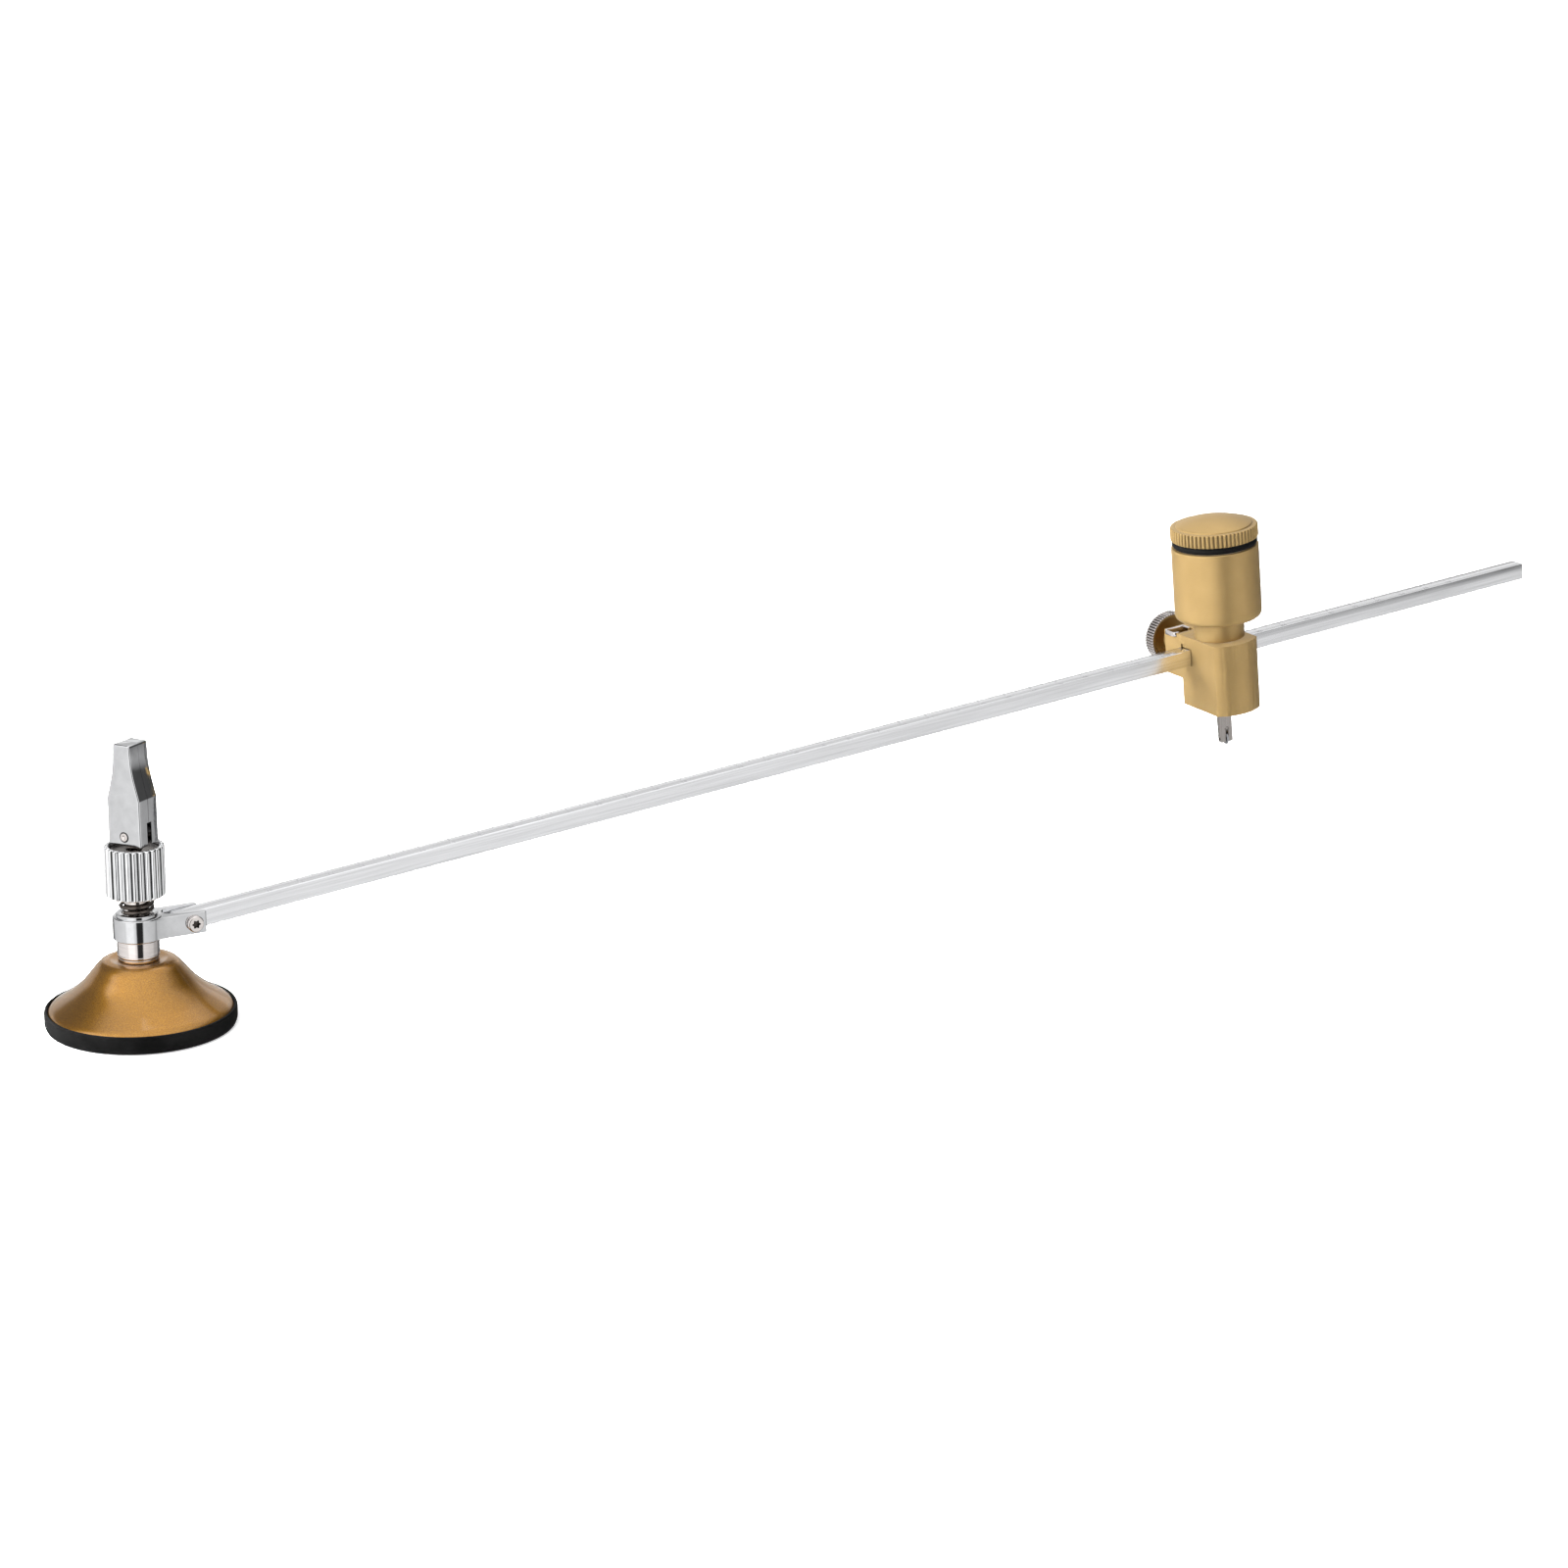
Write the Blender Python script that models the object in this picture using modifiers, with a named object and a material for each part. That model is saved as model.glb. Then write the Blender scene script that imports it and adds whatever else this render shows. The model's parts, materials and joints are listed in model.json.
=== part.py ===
"""A glass circle cutter: a suction foot with a cam lever, a swivelling arm, and a graduated bar that
carries a sliding oil-fed cutter head. Metres, +Z up. The origin is the centre of the suction face,
and +X points along the bar."""

import math

import bmesh
import bpy
from mathutils import Vector

MM = 0.001

# Fits and facets that all pieces share
seat_gap = 0.15 * MM
run_gap = 0.15 * MM
overrun = 2.0 * MM
weld_distance = 0.0005 * MM
small_steps = 12
coarse_steps = 16
round_steps = 32
fine_steps = 40

# Rubber disc
foot_radius = 28.3 * MM
rubber_height = 5.5 * MM
rubber_lip = 0.9 * MM
rubber_shoulder = 0.75 * MM
rubber_shoulder_drop = 1.0 * MM
rubber_taper = 0.6 * MM
rubber_taper_height = 1.5 * MM
rubber_web = 3.2 * MM

# Dome cover
dome_wall = 1.8 * MM
dome_flat_height = 20.2 * MM
dome_crown_height = 20.5 * MM
dome_radius = foot_radius - rubber_lip - run_gap
dome_rim_height = rubber_web + seat_gap
dome_profile_shares = (
    (0.247, 0.985),
    (0.327, 1.000),
    (0.418, 0.950),
    (0.509, 0.790),
    (0.617, 0.583),
    (0.744, 0.402),
    (0.872, 0.259),
    (0.963, 0.160),
    (1.000, 0.082),
    (1.000, 0.000),
)

# Post sleeve and what clamps it to the dome
rod_radius = 2.2 * MM
post_bore_radius = rod_radius + run_gap
stud_radius = 3.9 * MM
stud_end_drop = 0.6 * MM
base_washer_radius = 6.1 * MM
base_washer_thickness = 0.9 * MM
post_radius = 6.28 * MM
post_body_height = 5.2 * MM
post_chamfer = 0.25 * MM
journal_radius = 4.3 * MM
neck_radius = 3.7 * MM
neck_inset = 1.1 * MM
lock_nut_radius = 6.9 * MM
lock_nut_height = 3.6 * MM

# Pull plate and its return spring
plate_radius = 16.0 * MM
plate_thickness = 1.5 * MM
plate_boss_radius = 4.1 * MM
plate_boss_height = 2.0 * MM
return_wire_radius = 0.5 * MM
return_coil_radius = 5.1 * MM
return_turns = 4
points_per_turn = 10

# Arm bracket
arm_ring_radius = 7.25 * MM
arm_ring_height = 7.05 * MM
arm_ring_chamfer = 0.5 * MM
arm_lip_radius = 6.2 * MM
arm_lip_height = 0.95 * MM
arm_half_width = 5.3 * MM
arm_depth = 6.5 * MM
arm_step = 0.1 * MM
arm_reach = 19.7 * MM
arm_edge_round = 0.6 * MM
arm_slot_start = 7.6 * MM
arm_slot_half = 3.05 * MM
bracket_screw_x = 15.8 * MM
bracket_screw_lift = 0.1 * MM
bracket_screw_radius = 1.6 * MM
bracket_head_radius = 2.5 * MM
bracket_head_height = 1.3 * MM
bracket_head_round = 0.4 * MM
bracket_socket_radius = 1.35 * MM
bracket_socket_lobes = 6
bracket_socket_dip = 0.4 * MM
bracket_socket_depth = 0.8 * MM

# Friction spring, washers and knurled nut above the arm
friction_wire_radius = 0.55 * MM
friction_coil_radius = 4.7 * MM
friction_turns = 1.88
friction_spring_height = 4.0 * MM
nut_washer_radius = 5.6 * MM
nut_washer_thickness = 0.8 * MM
nut_radius = 8.86 * MM
nut_height = 15.3 * MM
nut_chamfer = 0.6 * MM
nut_flutes = 26
nut_flute_depth = 0.7 * MM
nut_recess_radius = 7.6 * MM
nut_recess_depth = 2.05 * MM
cam_washer_radius = 7.2 * MM
cam_washer_thickness = 0.5 * MM
cam_clearance = 1.9 * MM

# Cam lever, its pin and the end of the pull rod
lever_yaw = math.radians(32.0)
lever_base_half = 5.93 * MM
lever_shoulder_half = 5.83 * MM
lever_neck_half = 3.43 * MM
lever_top_half = 3.0 * MM
lever_half_thickness = 4.35 * MM
lever_base_drop = 2.75 * MM
lever_shoulder_rise = 11.45 * MM
lever_neck_rise = 19.95 * MM
lever_top_rise = 27.85 * MM
lever_edge_round = 0.6 * MM
lever_slot_rise = 4.35 * MM
lever_slot_half = 1.0 * MM
tongue_half_thickness = 0.8 * MM
eye_radius = 2.6 * MM
lever_pin_radius = 1.25 * MM
lever_pin_stand = 0.25 * MM

# Graduated bar
bar_side = 5.5 * MM
bar_length = 503.5 * MM
bar_inner_end = 6.2 * MM
bar_edge_round = 0.25 * MM
bar_pitch = math.radians(6.07)
bar_end_steps = 6

# Cutter head block, measured from the bar's centre line
head_station = 365.5 * MM
head_axis_y = -7.48 * MM
head_half_width = 8.67 * MM
head_corner_depth = 8.98 * MM
head_back_y = 3.0 * MM
head_top = 6.9 * MM
head_bottom = -17.4 * MM
head_edge_round = 0.35 * MM
head_arc_steps = 14
lug_back_y = 12.4 * MM
lug_bottom = -8.3 * MM
stem_radius = 3.8 * MM
stem_bottom = -2.0 * MM
stem_hole_bottom = -3.0 * MM

# Oil reservoir, its seal, cap and wick
neck_outer_radius = 8.4 * MM
reservoir_radius = 14.5 * MM
reservoir_bottom = 13.85 * MM
reservoir_top = 38.7 * MM
reservoir_edge_round = 2.3 * MM
reservoir_rim_round = 0.3 * MM
reservoir_bore_radius = 12.0 * MM
reservoir_floor = 15.9 * MM
wick_radius = 1.3 * MM
wick_rise = 1.6 * MM
seal_wire_radius = 1.1 * MM
seal_wire_steps = 10
cap_radius = 14.55 * MM
cap_band_height = 4.35 * MM
cap_chamfer = 0.35 * MM
cap_teeth = 62
cap_tooth_depth = 0.35 * MM
cap_crown_radius = 12.6 * MM
cap_crown_step = 0.4 * MM
cap_crown_rise = 2.5 * MM
cap_crown_steps = 6
cap_spigot_length = 6.0 * MM
cap_spigot_wall = 2.0 * MM
cap_roof = 3.0 * MM

# Bar clamp: pad, thumb screw and knob
clamp_height = -0.1 * MM
pad_radius = 2.3 * MM
pad_thickness = 2.0 * MM
thumb_shank_radius = 2.4 * MM
thumb_collar_radius = 3.4 * MM
thumb_collar_start_y = 14.0 * MM
thumb_disc_radius = 8.1 * MM
thumb_disc_thickness = 1.7 * MM
knob_radius = 8.8 * MM
knob_front_y = 20.3 * MM
knob_thickness = 4.5 * MM
knob_chamfer = 0.4 * MM
knob_teeth = 56
knob_tooth_depth = 0.35 * MM

# Retaining clip in the top of the lug
clip_sheet = 0.8 * MM
clip_bottom = 5.8 * MM
clip_top = 7.2 * MM
clip_right_end = 1.8 * MM
clip_left_end = 9.9 * MM
clip_front_y = 5.3 * MM
clip_back_y = 11.4 * MM
clip_front_length = 2.4 * MM
clip_right_leg = 4.1 * MM
clip_corner = 1.7 * MM
clip_corner_steps = 4
pocket_wall = 1.5 * MM
pocket_depth = 4.0 * MM

# Wheel holder, cutter wheel, axle and set screw
holder_shank_radius = 3.0 * MM
holder_shank_top = -5.0 * MM
holder_half_width = 2.25 * MM
holder_half_depth = 1.3 * MM
holder_tip_half_depth = 0.9 * MM
holder_bottom = -30.1 * MM
keyhole_height = -25.6 * MM
keyhole_radius = 0.9 * MM
wheel_slot_half_width = 0.55 * MM
wheel_height = -28.95 * MM
wheel_radius = 2.25 * MM
wheel_flat_radius = 1.75 * MM
wheel_half_thickness = 0.4 * MM
axle_radius = 0.5 * MM
set_screw_height = -12.5 * MM
set_screw_radius = 1.5 * MM
set_screw_socket_radius = 0.75 * MM
set_screw_socket_depth = 1.5 * MM

# Heights along the post, each stacked on the piece below
dome_hole_radius = stud_radius + run_gap
base_washer_bottom = dome_flat_height + seat_gap
post_bottom = base_washer_bottom + base_washer_thickness + seat_gap
post_shoulder = post_bottom + post_body_height
arm_bottom = post_shoulder + seat_gap
bracket_screw_height = arm_bottom + arm_step + arm_depth / 2 + bracket_screw_lift
arm_ring_top = arm_bottom + arm_ring_height
arm_lip_top = arm_ring_top + arm_lip_height
friction_spring_bottom = arm_lip_top + seat_gap
nut_washer_bottom = friction_spring_bottom + friction_spring_height + seat_gap
nut_bottom = nut_washer_bottom + nut_washer_thickness + seat_gap
nut_top = nut_bottom + nut_height
nut_recess_floor = nut_top - nut_recess_depth
cam_washer_bottom = nut_recess_floor + seat_gap
cam_washer_top = cam_washer_bottom + cam_washer_thickness
lever_bottom = cam_washer_top + cam_clearance
pin_height = lever_bottom + lever_base_drop
lock_nut_top = dome_flat_height - dome_wall - seat_gap
lock_nut_bottom = lock_nut_top - lock_nut_height
plate_bottom = rubber_web + seat_gap
plate_top = plate_bottom + plate_thickness
pad_front_y = bar_side / 2 + seat_gap
pad_back_y = pad_front_y + pad_thickness
tongue_half_width = math.sqrt(rod_radius**2 - tongue_half_thickness**2)
lever_sweep = math.hypot(lever_base_half, lever_base_drop)
tongue_start = pin_height - lever_sweep - run_gap


def collection(name):
    made = bpy.data.collections.new(name)
    bpy.context.scene.collection.children.link(made)
    return made


def clear_scene():
    for item in list(bpy.data.objects):
        bpy.data.objects.remove(item, do_unlink=True)


def finish(name, colour, roughness, metallic):
    made = bpy.data.materials.new(name)
    made.use_nodes = True
    shader = made.node_tree.nodes["Principled BSDF"]
    shader.inputs["Base Color"].default_value = (*colour, 1.0)
    shader.inputs["Roughness"].default_value = roughness
    shader.inputs["Metallic"].default_value = metallic
    return made


clear_scene()
parts = collection("circle_cutter")
cutters = collection("cutters")

black_rubber = finish("black_rubber", (0.012, 0.012, 0.013), 0.6, 0.0)
gold_lacquer = finish("gold_lacquer", (0.48, 0.21, 0.04), 0.25, 0.6)
champagne_gold = finish("champagne_gold", (0.56, 0.38, 0.15), 0.35, 0.9)
bright_chrome = finish("bright_chrome", (0.75, 0.76, 0.78), 0.08, 1.0)
nickel = finish("nickel", (0.62, 0.57, 0.53), 0.18, 1.0)
spring_steel = finish("spring_steel", (0.30, 0.28, 0.27), 0.3, 1.0)
bar_steel = finish("bar_steel", (0.60, 0.61, 0.64), 0.3, 1.0)
brass = finish("brass", (0.50, 0.33, 0.12), 0.3, 1.0)
carbide = finish("carbide", (0.25, 0.25, 0.27), 0.25, 1.0)
felt = finish("felt", (0.70, 0.66, 0.55), 0.9, 0.0)


def frame(name, place, parent=None, turn=(0.0, 0.0, 0.0)):
    """An empty that carries the pieces of one joint, with its origin on the joint's axis."""
    made = bpy.data.objects.new(name, None)
    made.location = place
    made.rotation_euler = turn
    made.parent = parent
    parts.objects.link(made)
    return made


def from_bmesh(name, shape):
    mesh = bpy.data.meshes.new(name)
    shape.to_mesh(mesh)
    shape.free()
    return bpy.data.objects.new(name, mesh)


def place(made, parent, material):
    """Puts a finished piece among the parts."""
    made.parent = parent
    made.data.materials.clear()
    made.data.materials.append(material)
    parts.objects.link(made)
    return made


def helper(made, parent):
    """Puts a shape that only cuts or joins among the cutters."""
    made.parent = parent
    made.hide_render = True
    made.display_type = "WIRE"
    cutters.objects.link(made)
    return made


def turned(name, profile, closed=True, steps=round_steps):
    """A profile of (radius, height) turned round Z. It runs down its outer side."""
    mesh = bpy.data.meshes.new(name)
    points = [(radius, 0.0, height) for radius, height in profile]
    edges = [(i, i + 1) for i in range(len(points) - 1)]
    if closed:
        edges.append((len(points) - 1, 0))
    mesh.from_pydata(points, edges, [])
    made = bpy.data.objects.new(name, mesh)
    screw = made.modifiers.new("turn", "SCREW")
    screw.steps = steps
    screw.render_steps = steps
    screw.use_merge_vertices = True
    screw.merge_threshold = weld_distance
    screw.use_smooth_shade = True
    return made


def cylinder(name, radius, low, high, steps=coarse_steps):
    """A cylinder round Z between two heights."""
    shape = bmesh.new()
    bmesh.ops.create_cone(
        shape, cap_ends=True, segments=steps, radius1=radius, radius2=radius, depth=high - low
    )
    bmesh.ops.translate(shape, vec=(0.0, 0.0, (low + high) / 2), verts=shape.verts)
    made = from_bmesh(name, shape)
    made.data.shade_smooth()
    made.data.set_sharp_from_angle(angle=math.radians(40.0))
    return made


def box(name, low, high):
    shape = bmesh.new()
    bmesh.ops.create_cube(shape, size=1.0)
    size = Vector(high) - Vector(low)
    bmesh.ops.scale(shape, vec=size, verts=shape.verts)
    bmesh.ops.translate(shape, vec=Vector(low) + size / 2, verts=shape.verts)
    return from_bmesh(name, shape)


def outline(name, points, half_thickness):
    """A flat outline in X and Y with a thickness along Z, as a mesh that Booleans can take."""
    curve = bpy.data.curves.new(name, "CURVE")
    curve.dimensions = "2D"
    curve.fill_mode = "BOTH"
    curve.extrude = half_thickness
    spline = curve.splines.new("POLY")
    spline.points.add(len(points) - 1)
    for point, (x, y) in zip(spline.points, points):
        point.co = (x, y, 0.0, 1.0)
    spline.use_cyclic_u = True
    return as_mesh(name, curve)


def as_mesh(name, curve):
    """The closed mesh of a curve, whose loose caps are welded on."""
    drawn = bpy.data.objects.new(name, curve)
    cutters.objects.link(drawn)
    graph = bpy.context.evaluated_depsgraph_get()
    mesh = bpy.data.meshes.new_from_object(drawn.evaluated_get(graph))
    shape = bmesh.new()
    shape.from_mesh(mesh)
    bmesh.ops.remove_doubles(shape, verts=shape.verts, dist=weld_distance)
    bmesh.ops.recalc_face_normals(shape, faces=shape.faces)
    shape.to_mesh(mesh)
    shape.free()
    bpy.data.objects.remove(drawn, do_unlink=True)
    return bpy.data.objects.new(name, mesh)


def along_y(made, x, z):
    """Lays a shape made round Z along +Y, through a point."""
    made.rotation_euler = (-math.pi / 2, 0.0, 0.0)
    made.location = (x, 0.0, z)
    return made


def along_x(made, y, z):
    """Lays a shape made round Z along +X, through a point."""
    made.rotation_euler = (0.0, math.pi / 2, 0.0)
    made.location = (0.0, y, z)
    return made


def combine(made, other, operation):
    step = made.modifiers.new(other.name, "BOOLEAN")
    step.object = other
    step.operation = operation
    return made


def round_edges(made, width, segments=2, angle=40.0):
    bevel = made.modifiers.new("round", "BEVEL")
    bevel.width = width
    bevel.segments = segments
    bevel.limit_method = "ANGLE"
    bevel.angle_limit = math.radians(angle)
    return made


def arc(centre, radius, start, end, steps):
    """Points on an arc, from one angle in degrees to another."""
    found = []
    for i in range(steps + 1):
        angle = math.radians(start + (end - start) * i / steps)
        found.append((centre[0] + radius * math.cos(angle), centre[1] + radius * math.sin(angle)))
    return found


def toothed(name, radius, depth, teeth, low, high, points_per_tooth=2):
    """A prism with teeth all round, which gives a turned body its knurl."""
    points = []
    count = teeth * points_per_tooth
    for i in range(count):
        angle = 2 * math.pi * i / count
        dip = 0.5 - 0.5 * math.cos(angle * teeth)
        points.append(
            ((radius - depth * dip) * math.cos(angle), (radius - depth * dip) * math.sin(angle))
        )
    made = outline(name, points, (high - low) / 2)
    made.location.z = (low + high) / 2
    return made


def coil(name, coil_radius, wire_radius, bottom, top, turns):
    """A helical spring between two heights, one unbroken wire. It prints its least gap to itself."""
    curve = bpy.data.curves.new(name, "CURVE")
    curve.dimensions = "3D"
    curve.bevel_depth = wire_radius
    curve.bevel_resolution = 1
    curve.use_fill_caps = True
    spline = curve.splines.new("POLY")
    count = round(turns * points_per_turn)
    spline.points.add(count)
    rise = top - bottom - 2 * wire_radius
    for i in range(count + 1):
        angle = 2 * math.pi * turns * i / count
        x = coil_radius * math.cos(angle)
        y = coil_radius * math.sin(angle)
        spline.points[i].co = (x, y, bottom + wire_radius + rise * i / count, 1.0)
    centres = [Vector(point.co[:3]) for point in spline.points]
    apart = [
        (centres[i] - centres[j]).length
        for i in range(count + 1)
        for j in range(i + points_per_turn // 2, count + 1)
    ]
    print(f"{name}: least gap to itself {(min(apart) - 2 * wire_radius) / MM:.2f} mm")
    return bpy.data.objects.new(name, curve)


def make_rubber_disc():
    lip = foot_radius - rubber_lip
    profile = [
        (0.0, rubber_web),
        (lip, rubber_web),
        (lip, rubber_height),
        (foot_radius - rubber_shoulder, rubber_height),
        (foot_radius, rubber_height - rubber_shoulder_drop),
        (foot_radius, rubber_taper_height),
        (foot_radius - rubber_taper, 0.0),
        (0.0, 0.0),
    ]
    place(turned("rubber_disc", profile, closed=False, steps=fine_steps), None, black_rubber)


def make_dome_cover():
    rise = dome_crown_height - dome_rim_height
    shoulder = [
        (radius * dome_radius, dome_rim_height + height * rise)
        for radius, height in dome_profile_shares
    ]
    profile = [(dome_hole_radius, dome_flat_height)] + shoulder
    made = turned("dome_cover", profile, closed=False, steps=fine_steps)
    shell = made.modifiers.new("wall", "SOLIDIFY")
    shell.thickness = dome_wall
    shell.offset = -1.0
    shell.use_even_offset = True
    place(made, None, gold_lacquer)


def make_base_washer():
    top = base_washer_bottom + base_washer_thickness
    inner = stud_radius + run_gap
    profile = [
        (base_washer_radius, top),
        (base_washer_radius, base_washer_bottom),
        (inner, base_washer_bottom),
        (inner, top),
    ]
    place(turned("base_washer", profile), None, nickel)


def make_post_sleeve():
    journal_top = arm_lip_top - run_gap
    neck_top = nut_recess_floor - neck_inset
    stud_end = lock_nut_bottom - stud_end_drop
    profile = [
        (neck_radius - post_chamfer, neck_top),
        (neck_radius, neck_top - post_chamfer),
        (neck_radius, journal_top),
        (journal_radius, journal_top),
        (journal_radius, post_shoulder),
        (post_radius - post_chamfer, post_shoulder),
        (post_radius, post_shoulder - post_chamfer),
        (post_radius, post_bottom + post_chamfer),
        (post_radius - post_chamfer, post_bottom),
        (stud_radius, post_bottom),
        (stud_radius, stud_end),
        (post_bore_radius, stud_end),
        (post_bore_radius, neck_top),
    ]
    place(turned("post_sleeve", profile), None, nickel)


def make_post_lock_nut():
    made = cylinder("post_lock_nut", lock_nut_radius, lock_nut_bottom, lock_nut_top, steps=6)
    bore = cylinder(
        "lock_nut_bore", stud_radius + run_gap, lock_nut_bottom - overrun, lock_nut_top + overrun
    )
    combine(made, helper(bore, None), "DIFFERENCE")
    place(made, None, spring_steel)


def make_pull_plate():
    bore = rod_radius + run_gap
    boss_top = plate_top + plate_boss_height
    profile = [
        (plate_boss_radius, boss_top),
        (plate_boss_radius, plate_top),
        (plate_radius, plate_top),
        (plate_radius, plate_bottom),
        (bore, plate_bottom),
        (bore, boss_top),
    ]
    place(turned("pull_plate", profile), None, spring_steel)


def make_return_spring():
    made = coil(
        "return_spring",
        return_coil_radius,
        return_wire_radius,
        plate_top + seat_gap,
        lock_nut_bottom - seat_gap,
        return_turns,
    )
    place(made, None, spring_steel)


def make_pull_rod(pin_frame):
    made = cylinder(
        "pull_rod", rod_radius, plate_bottom - pin_height, tongue_start - pin_height
    )
    tang = box(
        "rod_tongue",
        (-tongue_half_thickness, -tongue_half_width, tongue_start - pin_height - overrun),
        (tongue_half_thickness, tongue_half_width, 0.0),
    )
    eye = cylinder("rod_eye", eye_radius, -tongue_half_thickness, tongue_half_thickness)
    hole = cylinder(
        "rod_eye_hole", lever_pin_radius + run_gap, -eye_radius - overrun, eye_radius + overrun
    )
    combine(made, helper(tang, pin_frame), "UNION")
    combine(made, helper(along_x(eye, 0.0, 0.0), pin_frame), "UNION")
    combine(made, helper(along_x(hole, 0.0, 0.0), pin_frame), "DIFFERENCE")
    place(made, pin_frame, nickel)


def make_lever_pin(pin_frame):
    end = lever_half_thickness + lever_pin_stand
    made = cylinder("lever_pin", lever_pin_radius, -end, end)
    place(along_x(made, 0.0, 0.0), pin_frame, spring_steel)


def make_cam_lever(pin_frame):
    right = [
        (lever_base_half, -lever_base_drop),
        (lever_shoulder_half, lever_shoulder_rise),
        (lever_neck_half, lever_neck_rise),
        (lever_top_half, lever_top_rise),
    ]
    left = [(-width, rise) for width, rise in reversed(right)]
    made = outline("cam_lever", right + left, lever_half_thickness)
    made.rotation_euler = (math.pi / 2, 0.0, math.pi / 2)
    round_edges(made, lever_edge_round)
    slot_half = lever_slot_half
    slot = box(
        "lever_slot",
        (-slot_half, -lever_base_half - overrun, -lever_base_drop - overrun),
        (slot_half, lever_base_half + overrun, lever_slot_rise),
    )
    hole = cylinder(
        "lever_pin_hole",
        lever_pin_radius + run_gap,
        -lever_half_thickness - overrun,
        lever_half_thickness + overrun,
    )
    combine(made, helper(slot, pin_frame), "DIFFERENCE")
    combine(made, helper(along_x(hole, 0.0, 0.0), pin_frame), "DIFFERENCE")
    place(made, pin_frame, bright_chrome)


def make_arm_bracket():
    bore = journal_radius + run_gap
    profile = [
        (arm_lip_radius, arm_lip_top),
        (arm_lip_radius, arm_ring_top),
        (arm_ring_radius - arm_ring_chamfer, arm_ring_top),
        (arm_ring_radius, arm_ring_top - arm_ring_chamfer),
        (arm_ring_radius, arm_bottom + arm_ring_chamfer),
        (arm_ring_radius - arm_ring_chamfer, arm_bottom),
        (bore, arm_bottom),
        (bore, arm_lip_top),
    ]
    made = turned("arm_bracket", profile)
    arm = box(
        "arm_beam",
        (bore + arm_step, -arm_half_width, arm_bottom + arm_step),
        (arm_reach, arm_half_width, arm_bottom + arm_step + arm_depth),
    )
    round_edges(arm, arm_edge_round)
    slot_half = arm_slot_half
    slot_middle = (arm_reach + overrun + arm_slot_start) / 2
    slot_points = arc((arm_slot_start + slot_half - slot_middle, 0.0), slot_half, 90, 270, 8)
    slot_points += [(arm_reach + overrun - slot_middle, -slot_half)]
    slot_points += [(arm_reach + overrun - slot_middle, slot_half)]
    slot = outline("arm_slot", slot_points, arm_depth)
    slot.location = (slot_middle, 0.0, arm_bottom + arm_depth / 2)
    hole = cylinder(
        "arm_screw_hole",
        bracket_screw_radius + run_gap,
        -arm_half_width - overrun,
        arm_half_width + overrun,
    )
    combine(made, helper(arm, None), "UNION")
    combine(made, helper(slot, None), "DIFFERENCE")
    combine(
        made, helper(along_y(hole, bracket_screw_x, bracket_screw_height), None), "DIFFERENCE"
    )
    place(made, None, bright_chrome)


def make_bracket_screw():
    face = arm_half_width + seat_gap
    head_end = face + bracket_head_height
    profile = [
        (0.0, head_end),
        (bracket_head_radius - bracket_head_round, head_end),
        (bracket_head_radius, head_end - bracket_head_round),
        (bracket_head_radius, face),
        (bracket_screw_radius, face),
        (bracket_screw_radius, -arm_half_width + seat_gap),
        (0.0, -arm_half_width + seat_gap),
    ]
    made = turned("bracket_screw", profile, closed=False, steps=coarse_steps)
    made.rotation_euler = (math.pi / 2, 0.0, 0.0)
    made.location = (bracket_screw_x, 0.0, bracket_screw_height)
    socket = toothed(
        "bracket_socket",
        bracket_socket_radius,
        bracket_socket_dip,
        bracket_socket_lobes,
        head_end - bracket_socket_depth,
        head_end + overrun,
        points_per_tooth=4,
    )
    socket.rotation_euler = made.rotation_euler
    socket.location = (
        bracket_screw_x,
        -head_end + (bracket_socket_depth - overrun) / 2,
        bracket_screw_height,
    )
    combine(made, helper(socket, None), "DIFFERENCE")
    place(made, None, nickel)


def make_friction_spring():
    made = coil(
        "friction_spring",
        friction_coil_radius,
        friction_wire_radius,
        friction_spring_bottom,
        friction_spring_bottom + friction_spring_height,
        friction_turns,
    )
    made.rotation_euler = (0.0, 0.0, math.radians(200.0))
    place(made, None, spring_steel)


def make_nut_washer():
    top = nut_washer_bottom + nut_washer_thickness
    inner = neck_radius + run_gap
    profile = [
        (nut_washer_radius, top),
        (nut_washer_radius, nut_washer_bottom),
        (inner, nut_washer_bottom),
        (inner, top),
    ]
    place(turned("nut_washer", profile), None, nickel)


def make_knurled_nut():
    bore = neck_radius + run_gap
    profile = [
        (nut_radius - nut_chamfer, nut_top),
        (nut_radius, nut_top - nut_chamfer),
        (nut_radius, nut_bottom + nut_chamfer),
        (nut_radius - nut_chamfer, nut_bottom),
        (bore, nut_bottom),
        (bore, nut_recess_floor),
        (nut_recess_radius, nut_recess_floor),
        (nut_recess_radius, nut_top),
    ]
    made = turned("knurled_nut", profile, steps=fine_steps)
    flutes = toothed(
        "nut_flutes",
        nut_radius,
        nut_flute_depth,
        nut_flutes,
        nut_bottom - overrun,
        nut_top + overrun,
        points_per_tooth=4,
    )
    combine(made, helper(flutes, None), "INTERSECT")
    place(made, None, bright_chrome)


def make_cam_washer():
    inner = rod_radius + run_gap
    profile = [
        (cam_washer_radius, cam_washer_top),
        (cam_washer_radius, cam_washer_bottom),
        (inner, cam_washer_bottom),
        (inner, cam_washer_top),
    ]
    place(turned("cam_washer", profile), None, nickel)


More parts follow.
